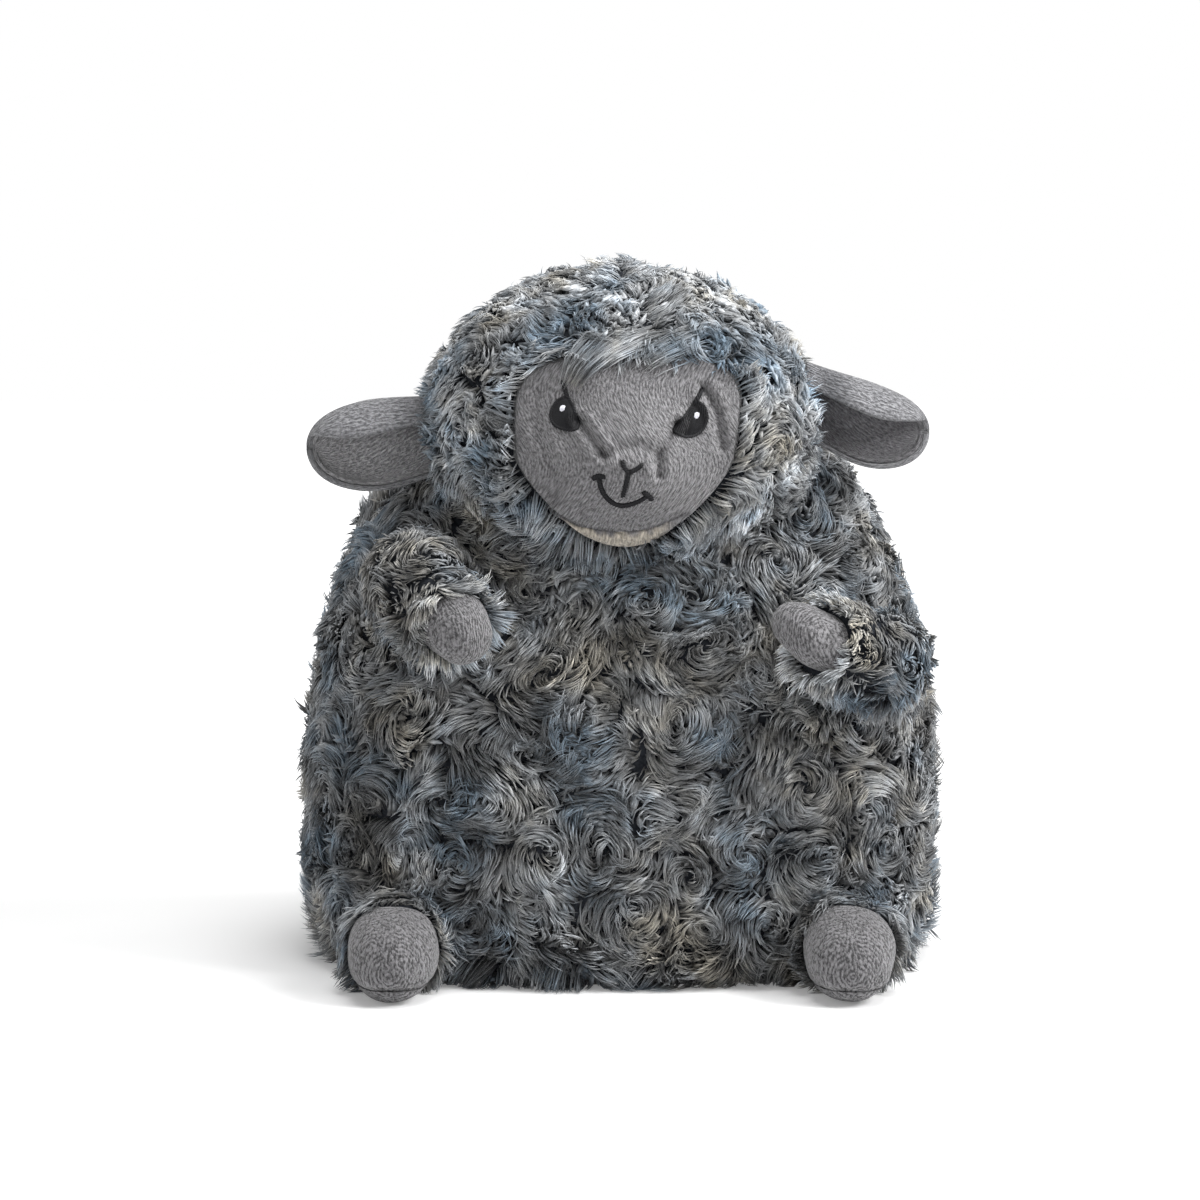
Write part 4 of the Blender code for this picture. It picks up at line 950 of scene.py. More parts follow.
def body_fur(name, low, high, seed, replaced, density):
    """Rosette pile on one panel of the body, parted along the belly's seam.

    The lowest pile is longer and combed out and down, so that it stands on the floor.
    """
    surface = section(body_surface, low, high)

    def keep(points):
        seam = (np.abs(points[:, 0]) < 0.3 * MM) & (points[:, 1] < SHEEP_Y)
        free = ~in_head(points, -6 * MM) & clear_of_seats(points, 4 * MM)
        return free & ~seam & (points[:, 2] > 1.5 * MM)

    # The body's underfur takes the darker copy of the fur: painted shade between the locks.
    underfur(name + "_under", "body", surface, keep, BODY_CENTRES, seed + 100, SHADED_UNDERFUR, replaced)
    roots, normals = scatter(surface, STRANDS_PER_CM2 * density, seed)
    chosen = keep(roots)
    roots, normals = roots[chosen], normals[chosen]
    relief = lumps(roots, BODY_CENTRES)
    near_seam = np.exp(-((roots[:, :1] / (4 * MM)) ** 2)) * (roots[:, 1:2] < SHEEP_Y)
    low_down = 1 - smooth(roots[:, 2:3] / (26 * MM))
    comb = np.concatenate([np.sign(roots[:, :1]), np.zeros((len(roots), 2))], 1) * near_seam * 0.14
    comb = comb + np.array([0, 0, -0.9]) * low_down
    roots = roots + normals * (relief - ROOT_INSET)[:, None]
    length = BODY_PILE * (1 + 0.35 * low_down)
    paths, shade = grow(roots, normals, BODY_CENTRES, seed, length, comb=comb)
    rng = np.random.default_rng(seed + 1)
    width = rng.uniform(0.5, 0.95, len(roots)) * MM / math.sqrt(density)
    in_pieces(name, "body", paths, normals, width, shade, FUR, replaced)


def tucked(points, normals):
    """Points of the body's surface inside the head's ball, moved in to the ball's far side.

    The line inwards through a point meets the ball's ellipsoid where a quadratic is zero.
    """
    scale = np.array([HEAD_HALF_WIDTH + MM] + [HEAD_RADIUS + MM] * 2)
    here = (points - HEAD_MIDDLE) / scale
    way = -normals / scale
    a = (way**2).sum(-1)
    b = (here * way).sum(-1)
    c = (here**2).sum(-1) - 1
    root = np.sqrt(np.maximum(b * b - a * c, 0))
    depth = np.where(c < 0, (-b + root) / a, 0)
    return points - normals * depth[..., None]


def lumps(points, centres):
    """How far each whorl stands proud: a swelling with a dip at its centre and a valley round it.

    The valley lies where the nearest two centres are equally far away.
    """
    relief = np.empty(len(points))
    for start in range(0, len(points), BLOCK):
        block = points[start:start + BLOCK]
        gap = np.sqrt(((block[:, None] - centres[None]) ** 2).sum(2))
        near = np.partition(gap, 1, axis=1)
        valley = np.exp(-(((near[:, 1] - near[:, 0]) / VALLEY_WIDTH) ** 2))
        dip = np.exp(-((near[:, 0] / DIP_WIDTH) ** 2))
        relief[start:start + BLOCK] = LUMP_HEIGHT - VALLEY_DEPTH * valley - LUMP_HEIGHT * dip
    return relief


def body_backing():
    """The knitted backing under the pile of the body, closed over its top and its base."""
    u, v = ring_places(0.0, 0.999, 90, 160)
    grid = body_surface(u, v, ROOT_INSET)
    normals = normals_of(lambda a, b: body_surface(a, b, ROOT_INSET), np.clip(u, 0.001, 0.998), v)
    normals = outwards(normals, grid - grid.reshape(-1, 3).mean(0))
    relief = lumps(grid.reshape(-1, 3), BODY_CENTRES).reshape(grid.shape[:2])
    grid = grid + normals * relief[..., None]
    grid = tucked(grid, normals)
    grid[..., 2] = np.maximum(grid[..., 2], 0.5 * MM)
    piece = closed_grid("body_backing", grid, SHADED_BACKING)
    belongs(piece, "body")


# The body's pile: from which to which share round the body, its seed, its solid and its density
BODY_PANELS = {
    "front_left_fur": (0.25, 0.5, 21, "front_left_panel", 1.0),
    "front_right_fur": (0.5, 0.75, 23, "front_right_panel", 1.0),
    "back_left_fur": (0, 0.25, 25, "back_panel", BACK_DENSITY),
    "back_right_fur": (0.75, 1, 27, "back_panel", BACK_DENSITY),
}


def build_body():
    """The body's pile, one piece or more for each panel, and its backing."""
    for name, (start, end, seed, node, density) in BODY_PANELS.items():
        body_fur(name, (0, start), (1, end), seed, [node], density)
    body_backing()


# The head

def face_outline_share(x, z):
    """1 on the outline of the face, less inside it, from places about the head's middle.

    Below its widest level the outline is a tapered ellipse, above it a squarer superellipse.
    """
    high = z + FACE_DROP > 0
    up = (z + FACE_DROP) / np.where(high, FACE_UPPER_HEIGHT, FACE_HALF_HEIGHT)
    taper = 1 + np.where(high, FACE_UPPER_TAPER, FACE_TAPER) * np.clip(up, -1, 1)
    across = (x - FACE_ASIDE - FACE_UPPER_ASIDE * np.clip(up, 0, 1)) / (FACE_HALF_WIDTH * taper)
    power = np.where(high, FACE_UPPER_POWER, 2.0)
    return (np.abs(across) ** power + np.abs(up) ** power) ** (1 / power)


def clear_of_ears(points):
    """Whether points lie outside the upright slits that the ears are sewn into."""
    free = np.ones(len(points), bool)
    for side in ("left", "right"):
        away = np.abs(points - PIVOT[side + "_ear_swing"])
        slit = EAR_HALF_HEIGHT[side] * 0.9
        free &= (away[:, 0] > 12 * MM) | (away[:, 1] > 4.5 * MM) | (away[:, 2] > slit)
    return free


def beside_ears(points):
    """How close points of the hood lie to the ears' roots, from 0 to 1."""
    close = np.zeros(len(points))
    for side in ("left", "right"):
        away = np.abs(points - PIVOT[side + "_ear_swing"])
        gap = np.hypot(away[:, 1] / (5 * MM), away[:, 2] / EAR_HALF_HEIGHT[side])
        close = np.maximum(close, np.exp(-((gap - 1) / 0.6) ** 2) * (away[:, 0] < 16 * MM))
    return close


# Locks of the fringe: root, bend and tip in millimetres from the middle of the head
FRINGE_LOCKS = (
    ((-3, 33), (-14, 33), (-19.5, 17.5)),
    ((10, 35), (-2, 33), (-9, 25)),
    ((27, 34), (18, 33), (9, 25.5)),
)
HEAD_CENTRES = spaced(scatter(head_surface, 10, 12)[0], HOOD_WHORL_SPACING)


def hood_fur(name, low, high, seed, replaced):
    """The hood's pile: whorls combed away from the face's edge, and longer over the forehead."""
    surface = section(head_surface, low, high)

    def keep(points, margin=1.06):
        local = points - HEAD_MIDDLE
        on_face = (local[:, 1] < 0) & (face_outline_share(local[:, 0], local[:, 2]) < margin)
        return ~on_face & (body_depth(points) < 7 * MM) & clear_of_ears(points)

    underfur(name + "_under", "head", surface, keep, HEAD_CENTRES, seed + 100, LIT_FUR, replaced)
    roots, normals = scatter(surface, STRANDS_PER_CM2 * 1.25, seed)
    chosen = keep(roots, 0.99)
    roots, normals = roots[chosen], normals[chosen]
    local = roots - HEAD_MIDDLE
    share = face_outline_share(local[:, 0], local[:, 2])
    roots = roots + normals * (lumps(roots, HEAD_CENTRES) - ROOT_INSET)[:, None]
    edge = np.exp(-((share - 1) / 0.16) ** 2)[:, None] * (local[:, 1:2] < 0)
    above = smooth((local[:, 2:3] - 4 * MM) / (14 * MM)) * edge
    above = above * smooth((27 * MM - np.abs(local[:, :1] - 3 * MM)) / (12 * MM))
    outward = np.stack([local[:, 0] - FACE_ASIDE, np.zeros(len(local)), local[:, 2] + FACE_DROP], 1)
    comb = unit(outward) * (edge - above) * 0.7 + np.array([-0.7, -0.5, -0.8]) * above * 0.7
    comb = comb + np.array([0.0, -0.06, -0.25])
    stand = 0.55 * beside_ears(roots)[:, None]
    length = HOOD_PILE * (1 - 0.30 * smooth((np.abs(local[:, :1]) - 35 * MM) / (30 * MM)))
    paths, shade = grow(roots, normals, HEAD_CENTRES, seed, length, lean=(0.60, 1.42), swirl=0.9,
                        comb=comb, stand=stand, curl=0.45)
    rng = np.random.default_rng(seed + 1)
    width = rng.uniform(0.40, 0.80, len(roots)) * MM
    # The hood's pile takes the lit copy of the fur: painted light from above.
    in_pieces(name, "head", paths, normals, width, shade, LIT_FUR, replaced)


def fringe():
    """Locks that sweep over the top of the forehead: each strand follows a curve through its
    lock's root, bend and tip, which lie in front of the face.
    """
    for number, lock in enumerate(FRINGE_LOCKS):
        root, bend, tip = (np.array(place) for place in lock)
        count = 120
        rng = np.random.default_rng(70 + number)
        spread = rng.normal(0, 1, (count, 2))
        share = np.linspace(0, 1, STRAND_SEGMENTS + 1)[:, None, None]
        own = spread * np.array([[4.6, 2.4]])
        bends = bend + own * 0.9 + rng.normal(0, 1.5, (count, 2))
        tips = tip + own * np.array([[0.45, 0.9]]) + rng.normal(0, 1.0, (count, 1))
        places = (1 - share) ** 2 * (root + own) + 2 * share * (1 - share) * bends + share**2 * tips
        x, z = places[..., 0].T * MM, places[..., 1].T * MM
        lift = (0.8 + 3.2 * np.sin(math.pi * share[:, 0, 0] * 0.9)) * rng.uniform(0.5, 1.1, (count, 1))
        forward = face_base(x, z) + lift * MM
        paths = np.stack([x, -forward, z], -1) + HEAD_MIDDLE
        outward = np.tile(unit(np.array([[0.0, -1.0, 0.25]])), (count, 1))
        shade = 0.20 + rng.random(count) * 0.55
        width = rng.uniform(0.4, 0.7, count) * MM
        in_pieces(f"fringe_lock_{number + 1}", "head", paths, outward, width, shade, LIT_FUR, ["hood"])


def head_backing():
    """The knitted backing under the hood's pile, closed behind the face too."""
    u, v = ring_places(0.004, 0.996, 70, 120)
    grid = head_surface(u, v, ROOT_INSET)
    normals = unit(grid - HEAD_MIDDLE)
    relief = lumps(grid.reshape(-1, 3), HEAD_CENTRES).reshape(u.shape)
    local = grid - HEAD_MIDDLE
    behind_face = (local[..., 1] < 0) & (face_outline_share(local[..., 0], local[..., 2]) < 1.1)
    relief = np.where(behind_face, -1.5 * MM, relief)
    piece = closed_grid("head_backing", grid + normals * relief[..., None], SHADED_BACKING)
    belongs(piece, "head")


def build_hood():
    """The hood's two halves, the locks over the forehead and the backing."""
    hood_fur("hood_fur_left", (0, 0), (0.5, 1), 41, ["hood"])
    hood_fur("hood_fur_right", (0.5, 0), (1, 1), 42, ["hood"])
    fringe()
    head_backing()


# The face, in places (across, up) from the middle of the head

def face_base(x, z):
    """How far forward the plain face lies: the head's ellipsoid and the round muzzle on it."""
    ball = np.sqrt(np.maximum(1 - (x / HEAD_HALF_WIDTH) ** 2 - (z / HEAD_RADIUS) ** 2, 0.01))
    across = (x - FACE_ASIDE) / MUZZLE_HALF_WIDTH
    up = (z + MUZZLE_DROP) / MUZZLE_HALF_HEIGHT
    return HEAD_RADIUS * ball + MUZZLE_FORWARD * np.maximum(1 - across**2 - up**2, 0) ** 2


def line_gap(x, z, line):
    """The distance from places to a broken line of points in millimetres."""
    place = np.stack([x, z], -1)
    best = np.full(x.shape, 1.0)
    for a, b in zip(np.array(line[:-1]) * MM, np.array(line[1:]) * MM):
        share = np.clip(((place - a) @ (b - a)) / ((b - a) @ (b - a)), 0, 1)
        best = np.minimum(best, np.linalg.norm(place - a - share[..., None] * (b - a), axis=-1))
    return best


def mound(x, z, middle, half):
    """A round swelling of height 1 that fades out over its half sizes, in millimetres."""
    across = (x - middle[0] * MM) / (half[0] * MM)
    up = (z - middle[1] * MM) / (half[1] * MM)
    return np.exp(-(across**2 + up**2))


FOLD_DEPTH = 2.1
FOLD_RIM = 0.35
STITCH_DEPTH = 0.55
STITCH_WIDTH = 1.1
FACE_TUCK = 3 * MM
FACE_THICKNESS = 1.6 * MM
CHIN_PUFF = 1.3 * MM
CHIN_THICKNESS = 1.2 * MM
LOOP_ROW = 1.3 * MM

# Folds and seams pressed into the face: line, depth and width in millimetres
FACE_FOLDS = (
    (((-15.4, 3.5), (-12.6, -0.5), (-9.7, -4.4), (-6.5, -8.5)), 1.6, 1.5),
    (((-6.5, -8.5), (-0.6, -5.9), (6.9, -5.5), (13.6, -8.7)), 0.9, 2.2),
    (((20.5, 2.5), (17.5, -3.5), (13.6, -8.7), (14.0, -15.9)), 1.5, 1.5),
    (((-27.9, -9.4), (-24.1, -16.9), (-25.0, -24.8)), 1.2, 1.7),
    (((30.8, 15.6), (35.8, 7.1), (38.1, -7.1)), 1.3, 1.6),
    (((-30.5, 14.5), (-32.5, 3.0), (-29.5, -6.0)), 0.9, 2.0),
    (CHIN_SEAM, 0.7, 1.0),
    (((0.3, -40.2), (0.8, -45.5)), 0.6, 0.8),
)
# Swellings and hollows of the stuffed face: middle, half sizes and height in millimetres
FACE_MOUNDS = (
    ((2, 13), (17, 10), 2.2),
    ((3, -19), (15, 11), 2.6),
    ((-23, -12), (9, 9), 1.6),
    ((26, -13), (9, 9), 1.4),
    ((-22, 6), (7, 8), -1.4),
    ((27, 4), (7, 8), -1.4),
    ((0, -31), (14, 4), 0.9),
    ((-20, -18.6), (3, 3), -0.8),
)


def face_relief(x, z):
    """The folds, swellings and pressed stitches of the face, forward of its plain form."""
    rise = 0
    for line, depth, width in FACE_FOLDS:
        gap = line_gap(x, z, line) / MM
        valley = np.exp(-((gap / width) ** 2))
        beside = np.exp(-(((gap - 2.6 * width) / width) ** 2))
        rise = rise - FOLD_DEPTH * depth * (valley - FOLD_RIM * beside)
    for middle, half, height in FACE_MOUNDS:
        rise = rise + height * mound(x, z, middle, half)
    for line in STITCH_LINES.values():
        rise = rise - STITCH_DEPTH * np.exp(-((line_gap(x, z, line) / MM / STITCH_WIDTH) ** 2))
    return rise * MM


def arc_line(points, count=9):
    """A smooth line through points: each stretch follows a cubic through its neighbours."""
    points = np.array(points, float)
    before = np.vstack([2 * points[0] - points[1], points, 2 * points[-1] - points[-2]])
    share = np.linspace(0, 1, count)[:, None]
    line = []
    for a, b, c, d in zip(before, before[1:], before[2:], before[3:]):
        line.append(0.5 * (2 * b + (c - a) * share + (2 * a - 5 * b + 4 * c - d) * share**2
                           + (3 * b - a - 3 * c + d) * share**3)[:-1])
    return np.vstack(line + [points[-1:]])


# Lines of stitches, in millimetres from the middle of the head
STITCH_LINES = {
    "nose_left": arc_line(((0.3, -10.6), (0.9, -12.9), (2.4, -14.9), (2.0, -18.0), (0.5, -24.3))),
    "nose_right": arc_line(((7.5, -12.0), (5.6, -13.6), (2.9, -14.8))),
    "mouth": arc_line(((-8.3, -16.4), (-7.6, -20.4), (-5.8, -24.2), (-2.6, -27.0), (1.2, -27.8),
                       (6.1, -26.3), (9.8, -24.0))),
    "mouth_tick_left": arc_line(((-10.5, -17.5), (-8.4, -16.2), (-6.2, -16.6))),
    "mouth_tick_right": arc_line(((8.2, -22.4), (9.8, -23.9), (11.4, -25.6))),
    "left_brow": arc_line(((-20.2, 12.0), (-21.0, 15.0), (-22.0, 18.4))),
    "right_brow": arc_line(((27.2, 9.4), (28.8, 12.2), (30.3, 15.0))),
}


def face_place(x, z, lift=0.0):
    """Points of the finished face in space, lifted off it along its own outward direction."""
    step = 0.25 * MM

    def forward(a, b):
        return face_base(a, b) + face_relief(a, b)

    slope_x = (forward(x + step, z) - forward(x - step, z)) / (2 * step)
    slope_z = (forward(x, z + step) - forward(x, z - step)) / (2 * step)
    normal = unit(np.stack([-slope_x, -np.ones_like(x), -slope_z], -1))
    points = np.stack([x, -forward(x, z), z], -1) + HEAD_MIDDLE
    return points + normal * np.asarray(lift)[..., None], normal


def face_egg(share, turn):
    """Places inside the face's outline: a share of the way out from its middle, at a turn."""
    high = np.sin(turn) > 0
    power = np.where(high, FACE_UPPER_POWER, 2.0)
    reach = share * (np.abs(np.cos(turn)) ** power + np.abs(np.sin(turn)) ** power) ** (-1 / power)
    up = reach * np.sin(turn)
    taper = 1 + np.where(high, FACE_UPPER_TAPER, FACE_TAPER) * np.clip(up, -1, 1)
    middle = FACE_ASIDE + FACE_UPPER_ASIDE * np.clip(up, 0, 1)
    x = middle + reach * np.cos(turn) * FACE_HALF_WIDTH * taper
    return x, -FACE_DROP + up * np.where(high, FACE_UPPER_HEIGHT, FACE_HALF_HEIGHT)


def build_face():
    """The face: a closed sheet of short pile over the egg, tucked under the hood at its rim."""
    rows, columns = ((76, 260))
    share, turn = ring_places(0.01, 1.05, rows, columns)
    x, z = face_egg(share, turn * math.tau)
    tuck = -FACE_TUCK * smooth((share - 0.97) / 0.08)
    outer, _ = face_place(x, z, tuck)
    inner, _ = face_place(x[::-4], z[::-4], tuck[::-4] - FACE_THICKNESS)
    piece = closed_grid("face", np.concatenate([outer, inner]), FACE_VELBOA)
    across = np.concatenate([x, x[::-4]])
    up = np.concatenate([z, z[::-4]])
    bent = across + 6 * MM * np.sin(up / (9 * MM))
    pile = np.stack([bent, np.zeros_like(up), 0.45 * (up + 5 * MM * np.sin(across / (8 * MM)))], -1)
    add_pile(piece, with_ends(pile), with_ends(bent[..., None]) / LOOP_ROW)
    belongs(piece, "head", ["face_panel"])
    build_chin()


def build_chin():
    """The paler chin: a puffed strip between its seam and the lower rim of the face."""
    seam = arc_line(CHIN_SEAM, 12) * MM
    along = np.linspace(0, 1, 90)
    x = np.interp(along, np.linspace(0, 1, len(seam)), seam[:, 0])
    top = np.interp(along, np.linspace(0, 1, len(seam)), seam[:, 1]) - 0.4 * MM
    up = np.full_like(x, -0.95)
    for _ in range(6):
        half = FACE_HALF_WIDTH * (1 + FACE_TAPER * np.clip(up, -1, 1))
        up = -np.sqrt(np.maximum(1 - ((x - FACE_ASIDE) / half) ** 2, 0.02))
    bottom = np.minimum(-FACE_DROP + up * FACE_HALF_HEIGHT * 1.02, top - 0.4 * MM)
    bottom = top - 0.4 * MM + (bottom - top + 0.4 * MM) * (1 - (2 * along - 1) ** 6)
    share = np.linspace(0, 1, 16)[:, None]
    z = top + (bottom - top) * share
    x = np.broadcast_to(x, z.shape)
    puff = CHIN_PUFF * np.sqrt(np.clip(4 * share * (1 - share), 0, 1)) * np.sin(math.pi * along) ** 0.3
    outer, _ = face_place(x, z, puff - 0.2 * MM)
    inner, _ = face_place(x, z, np.full_like(z, -CHIN_THICKNESS))
    piece = slab("chin", outer, inner, CHIN_VELBOA)
    pile = np.stack([x, np.zeros_like(z), 0.45 * z], -1)
    pile = np.vstack([pile.reshape(-1, 3), pile.reshape(-1, 3) + np.array([0, CHIN_THICKNESS, 0])])
    add_pile(piece, pile, pile[:, 0] / LOOP_ROW)
    fade = smooth((share + 0.04 + 0.2 * wave_noise(np.stack([x, z, z], -1), 5 * MM, 33)) / 0.3)
    fade = fade * smooth((x + 24 * MM) / (7 * MM)) * smooth((21 * MM - x) / (9 * MM))
    add_attribute(piece, "fade", np.concatenate([fade.ravel(), fade.ravel()]))
    belongs(piece, "head", ["chin_panel"])


# Embroidery

THREAD_STEP = 0.3 * MM
THREAD_TWIST = 1.9 * MM
THREAD_LIFT = 0.35 * MM


def two_ply(name, line, node, width):
    """A line of twisted black thread: two plies that turn round each other along the line."""
    line = np.array(line) * MM
    length = np.concatenate([[0], np.cumsum(np.linalg.norm(np.diff(line, axis=0), axis=1))])
    stations = max(8, int(length[-1] / THREAD_STEP))
    even = np.linspace(0, length[-1], stations)
    x = np.interp(even, length, line[:, 0])
    z = np.interp(even, length, line[:, 1])
    middle, normal = face_place(x, z, np.full(stations, THREAD_LIFT))
    side = unit(np.cross(np.gradient(middle, axis=0), normal))
    turn = (even / THREAD_TWIST * math.tau)[:, None]
    radius = width * MM / 4
    plies = [middle + (side * np.cos(turn + start) + normal * np.sin(turn + start) * 0.7) * radius
             for start in (0, math.pi)]
    half_width, half_height = radius * 1.35, radius * 1.2
    outward = np.stack([normal] * 2)
    piece = tubes(name, np.stack(plies), outward, half_width, half_height, BLACK_THREAD)
    belongs(piece, "head", [node])


# Outlines of the eyes, from the top round the outer side, in millimetres
EYES = {
    "left": ((-20.6, 12.6), (-24.3, 10.6), (-26.4, 6.3), (-25.7, 2.7), (-22.6, 0.6), (-17.2, 0.4),
             (-16.3, 3.2), (-17.2, 6.9), (-18.6, 10.0)),
    "right": ((28.0, 11.0), (31.0, 8.6), (32.2, 4.8), (31.4, 1.5), (29.0, -1.3), (25.9, -2.3),
              (22.2, -1.7), (19.9, 0.4), (24.4, 6.2)),
}
GLINTS = {"left": (-21.5, 7.9), "right": (27.7, 5.2)}
# Widths of the threads, in millimetres
EYE_EDGE_THREAD = 1.2
BROW_THREAD = 1.7
NOSE_THREAD = 1.7
MOUTH_THREAD = 2.1
STITCH_LEAN = {"left": -0.10, "right": 0.16}


def eye_stitches(side):
    """Satin stitches side by side across the eye, and a thread round its edge.

    The eye is cut into even columns along its own upright direction. Each column's top and
    bottom come from where it crosses the outline, and the stitch between them is domed.
    """
    outline = arc_line(EYES[side] + EYES[side][:1], 10)
    lean = STITCH_LEAN[side]
    turned = np.stack([outline[:, 0] + outline[:, 1] * lean, outline[:, 1] - outline[:, 0] * lean], 1)
    low, high = turned[:, 0].min() + 0.35, turned[:, 0].max() - 0.35
    columns = np.linspace(low, high, 24)
    gap = turned[None, :-1, 0] - columns[:, None]
    gap_after = turned[None, 1:, 0] - columns[:, None]
    crossing = gap * gap_after <= 0
    share = gap / np.where(gap == gap_after, 1, gap - gap_after)
    height = turned[None, :-1, 1] + (turned[None, 1:, 1] - turned[None, :-1, 1]) * share
    top = np.where(crossing, height, -99).max(1)
    bottom = np.where(crossing, height, 99).min(1)
    along = np.linspace(0, 1, 18)
    a = np.broadcast_to(columns[:, None], (24, 18))
    b = bottom[:, None] + (top - bottom)[:, None] * along
    scale = 1 / (1 + lean**2)
    x = (a - b * lean) * scale * MM
    z = (b + a * lean) * scale * MM
    across = np.sin(math.pi * np.linspace(0.08, 0.92, 24))[:, None]
    dome = 0.35 + 0.75 * np.sin(math.pi * along) * across
    paths, normal = face_place(x, z, dome * MM)
    piece = tubes(side + "_eye_satin", paths, normal, 0.30 * MM, 0.26 * MM, BLACK_THREAD)
    belongs(piece, "head", [side + "_eye"])
    two_ply(side + "_eye_edge", outline, side + "_eye", EYE_EDGE_THREAD)


def eye_glint(side):
    """The white glint: a few short stitches side by side."""
    middle = np.array(GLINTS[side])
    offset = np.linspace(-0.8, 0.8, 5)[:, None]
    half = 1.15 * np.sqrt(1 - (offset / 1.25) ** 2)
    along = np.linspace(-1, 1, 9)
    x = (middle[0] + offset + along * half * 0.25) * MM
    z = (middle[1] + along * half) * MM
    paths, normal = face_place(x, z, 0 * x)
    outward = unit(normal.mean((0, 1)))
    normal = np.broadcast_to(outward, paths.shape)
    paths = paths.mean((0, 1)) + (paths - paths.mean((0, 1))) * (1 - outward**2 * 0.8)
    paths = paths + outward * (1.30 + 0.35 * (1 - along**2))[None, :, None] * MM
    piece = tubes(side + "_glint", paths, normal, 0.24 * MM, 0.22 * MM, WHITE_THREAD)
    belongs(piece, "head", [side + "_eye_highlight"])


def build_embroidery():
    """The eyes, their glints and brows, the nose and the mouth."""
    for side in ("left", "right"):
        eye_stitches(side)
        eye_glint(side)
        two_ply(side + "_brow_line", STITCH_LINES[side + "_brow"], side + "_brow", BROW_THREAD)
    for name in ("nose_left", "nose_right"):
        two_ply(name + "_line", STITCH_LINES[name], "nose", NOSE_THREAD)
    for name in ("mouth", "mouth_tick_left", "mouth_tick_right"):
        two_ply(name + "_line", STITCH_LINES[name], "mouth", MOUTH_THREAD)


# The ears

def ear_height(share, side):
    """Half the ear's height along its length: pinched at the root, a leaf's round tip."""
    swell = EAR_ROOT_SHARE + (1 - EAR_ROOT_SHARE) * np.sin(math.pi / 2 * np.minimum(share / 0.55, 1))
    return swell * np.sqrt(1 - np.maximum(share, 0) ** 3.4), EAR_HALF_HEIGHT[side]


def ear_point(share, turn, inset, side):
    """A point of the ear: a cupped oval section, a leaf along its length, its top edge folded."""
    swell, half_height = ear_height(share, side)
    tip = np.sqrt(1 - np.maximum(share, 0) ** 3.4)
    cup = (EAR_PINCH_SHARE + (1 - EAR_PINCH_SHARE) * smooth(share / 0.35)) * tip
    depth = (EAR_CUP - inset) * cup
    sign = -1 if side == "left" else 1
    x = sign * (EAR_LENGTH[side] - np.maximum(inset, 0)) * share
    y = EAR_CUP * EAR_PINCH_SHARE - inset * cup - depth * (1 - np.cos(turn))
    z = (half_height - inset) * swell * np.sin(turn) - EAR_DROOP[side] * (1 - (1 - share) ** 2)
    return np.stack(np.broadcast_arrays(x, y, z), -1) + PIVOT[side + "_ear_swing"]


def ear_layer(name, side, inset, thickness, trim, material, node):
    """One cloth layer of the ear, from inside the hood to its tip and from edge to edge.

    The folded edge keeps a level height until the narrowing tip lets it open into a rim.
    Shallow folds run out from the pinched root and fade towards the tip.
    """
    rows, columns = 52, 64
    way = np.linspace(0, 1 - trim, rows)[:, None]
    share = -0.10 + 1.0992 * np.sin(math.pi / 2 * way**1.1)
    swell, half_height = ear_height(share, side)
    lip = EAR_LIP + 0.8 * MM * np.sin(share * 7.0 + 0.5)
    high = math.pi - np.arcsin(np.clip(lip / (half_height * swell + MM), 0, math.sin(EAR_TIP_OPEN)))
    across = np.linspace(trim * 0.6, 1 - trim * 0.6, columns)[None]
    turn = -EAR_LOWER_CURL + (high + EAR_LOWER_CURL) * across
    crease = 0.5 * MM * np.sin(turn * 5.5 + 0.6) * (1 - smooth(share / 0.75))
    edge = 0.30 * thickness * np.exp(-(np.minimum(across, 1 - across) / 0.025) ** 2)
    outer = ear_point(share, turn, inset + crease + edge, side)
    inner = ear_point(share, turn, inset + thickness + crease - edge, side)
    piece = slab(name, outer, inner, material)
    length = share * EAR_LENGTH[side] + 0 * across
    round_way = turn * 12 * MM + 0 * share
    slant = 0.35 if trim else 0.0
    pile = np.stack([round_way + slant * length, 0 * length, 0.42 * length], -1).reshape(-1, 3)
    pile = np.vstack([pile, pile + np.array([0, thickness, 0])])
    add_pile(piece, pile, pile[:, 0] / (1.25 * MM))
    belongs(piece, side + "_ear", [node])


def build_ear(side):
    """An ear's outer layer and its lining."""
    ear_layer(side + "_ear_outside", side, 0, 2.3 * MM, 0, LIT_EAR_VELBOA, side + "_ear_back")
    ear_layer(side + "_ear_inside", side, 2.4 * MM, 1.6 * MM, 0.015, EAR_LININGS_LIT_AND_SHADED[side],
              side + "_ear_lining")


# Arms, legs and tail: surfaces turned about a limb's own axis

def limb_frame(reach):
    """The way along a limb, the level way across it and the way that rises from both."""
    axis = unit(np.array(reach, float))
    side = unit(np.cross(axis, [0.0, 0.0, 1.0]))
    return axis, side, np.cross(side, axis)


def turned_surface(pivot, reach, profile, corners=2.0):
    """A profile of (along, radius) turned about the line from a pivot along a reach.

    The section is a superellipse: round for a power of 2, squarer for a higher one.
    """
    axis, side, rise = limb_frame(reach)

    def surface(u, v):
        along, radius = profile(u)
        turn = np.asarray(v) * math.tau
        bulge = (np.abs(np.cos(turn)) ** corners + np.abs(np.sin(turn)) ** corners) ** (-1 / corners)
        across = (radius * bulge * np.cos(turn))[..., None]
        up = (radius * bulge * np.sin(turn))[..., None]
        return pivot + along[..., None] * axis + across * side + up * rise

    return surface


def sleeve_profile(root, cuff, length, inset=0.0):
    """A round root up to u of 0.4, then a sleeve that goes smoothly over to the cuff's radius."""
    def profile(u):
        polar = (np.clip(u / 0.4, 0, 1) - 1) * math.pi / 2
        share = np.clip((u - 0.4) / 0.6, 0, 1)
        along = np.where(u < 0.4, (root - inset) * np.sin(polar), length * share)
        tapered = root + (cuff - root) * smooth(share) - inset
        radius = np.where(u < 0.4, (root - inset) * np.cos(polar), tapered)
        return along, radius
    return profile


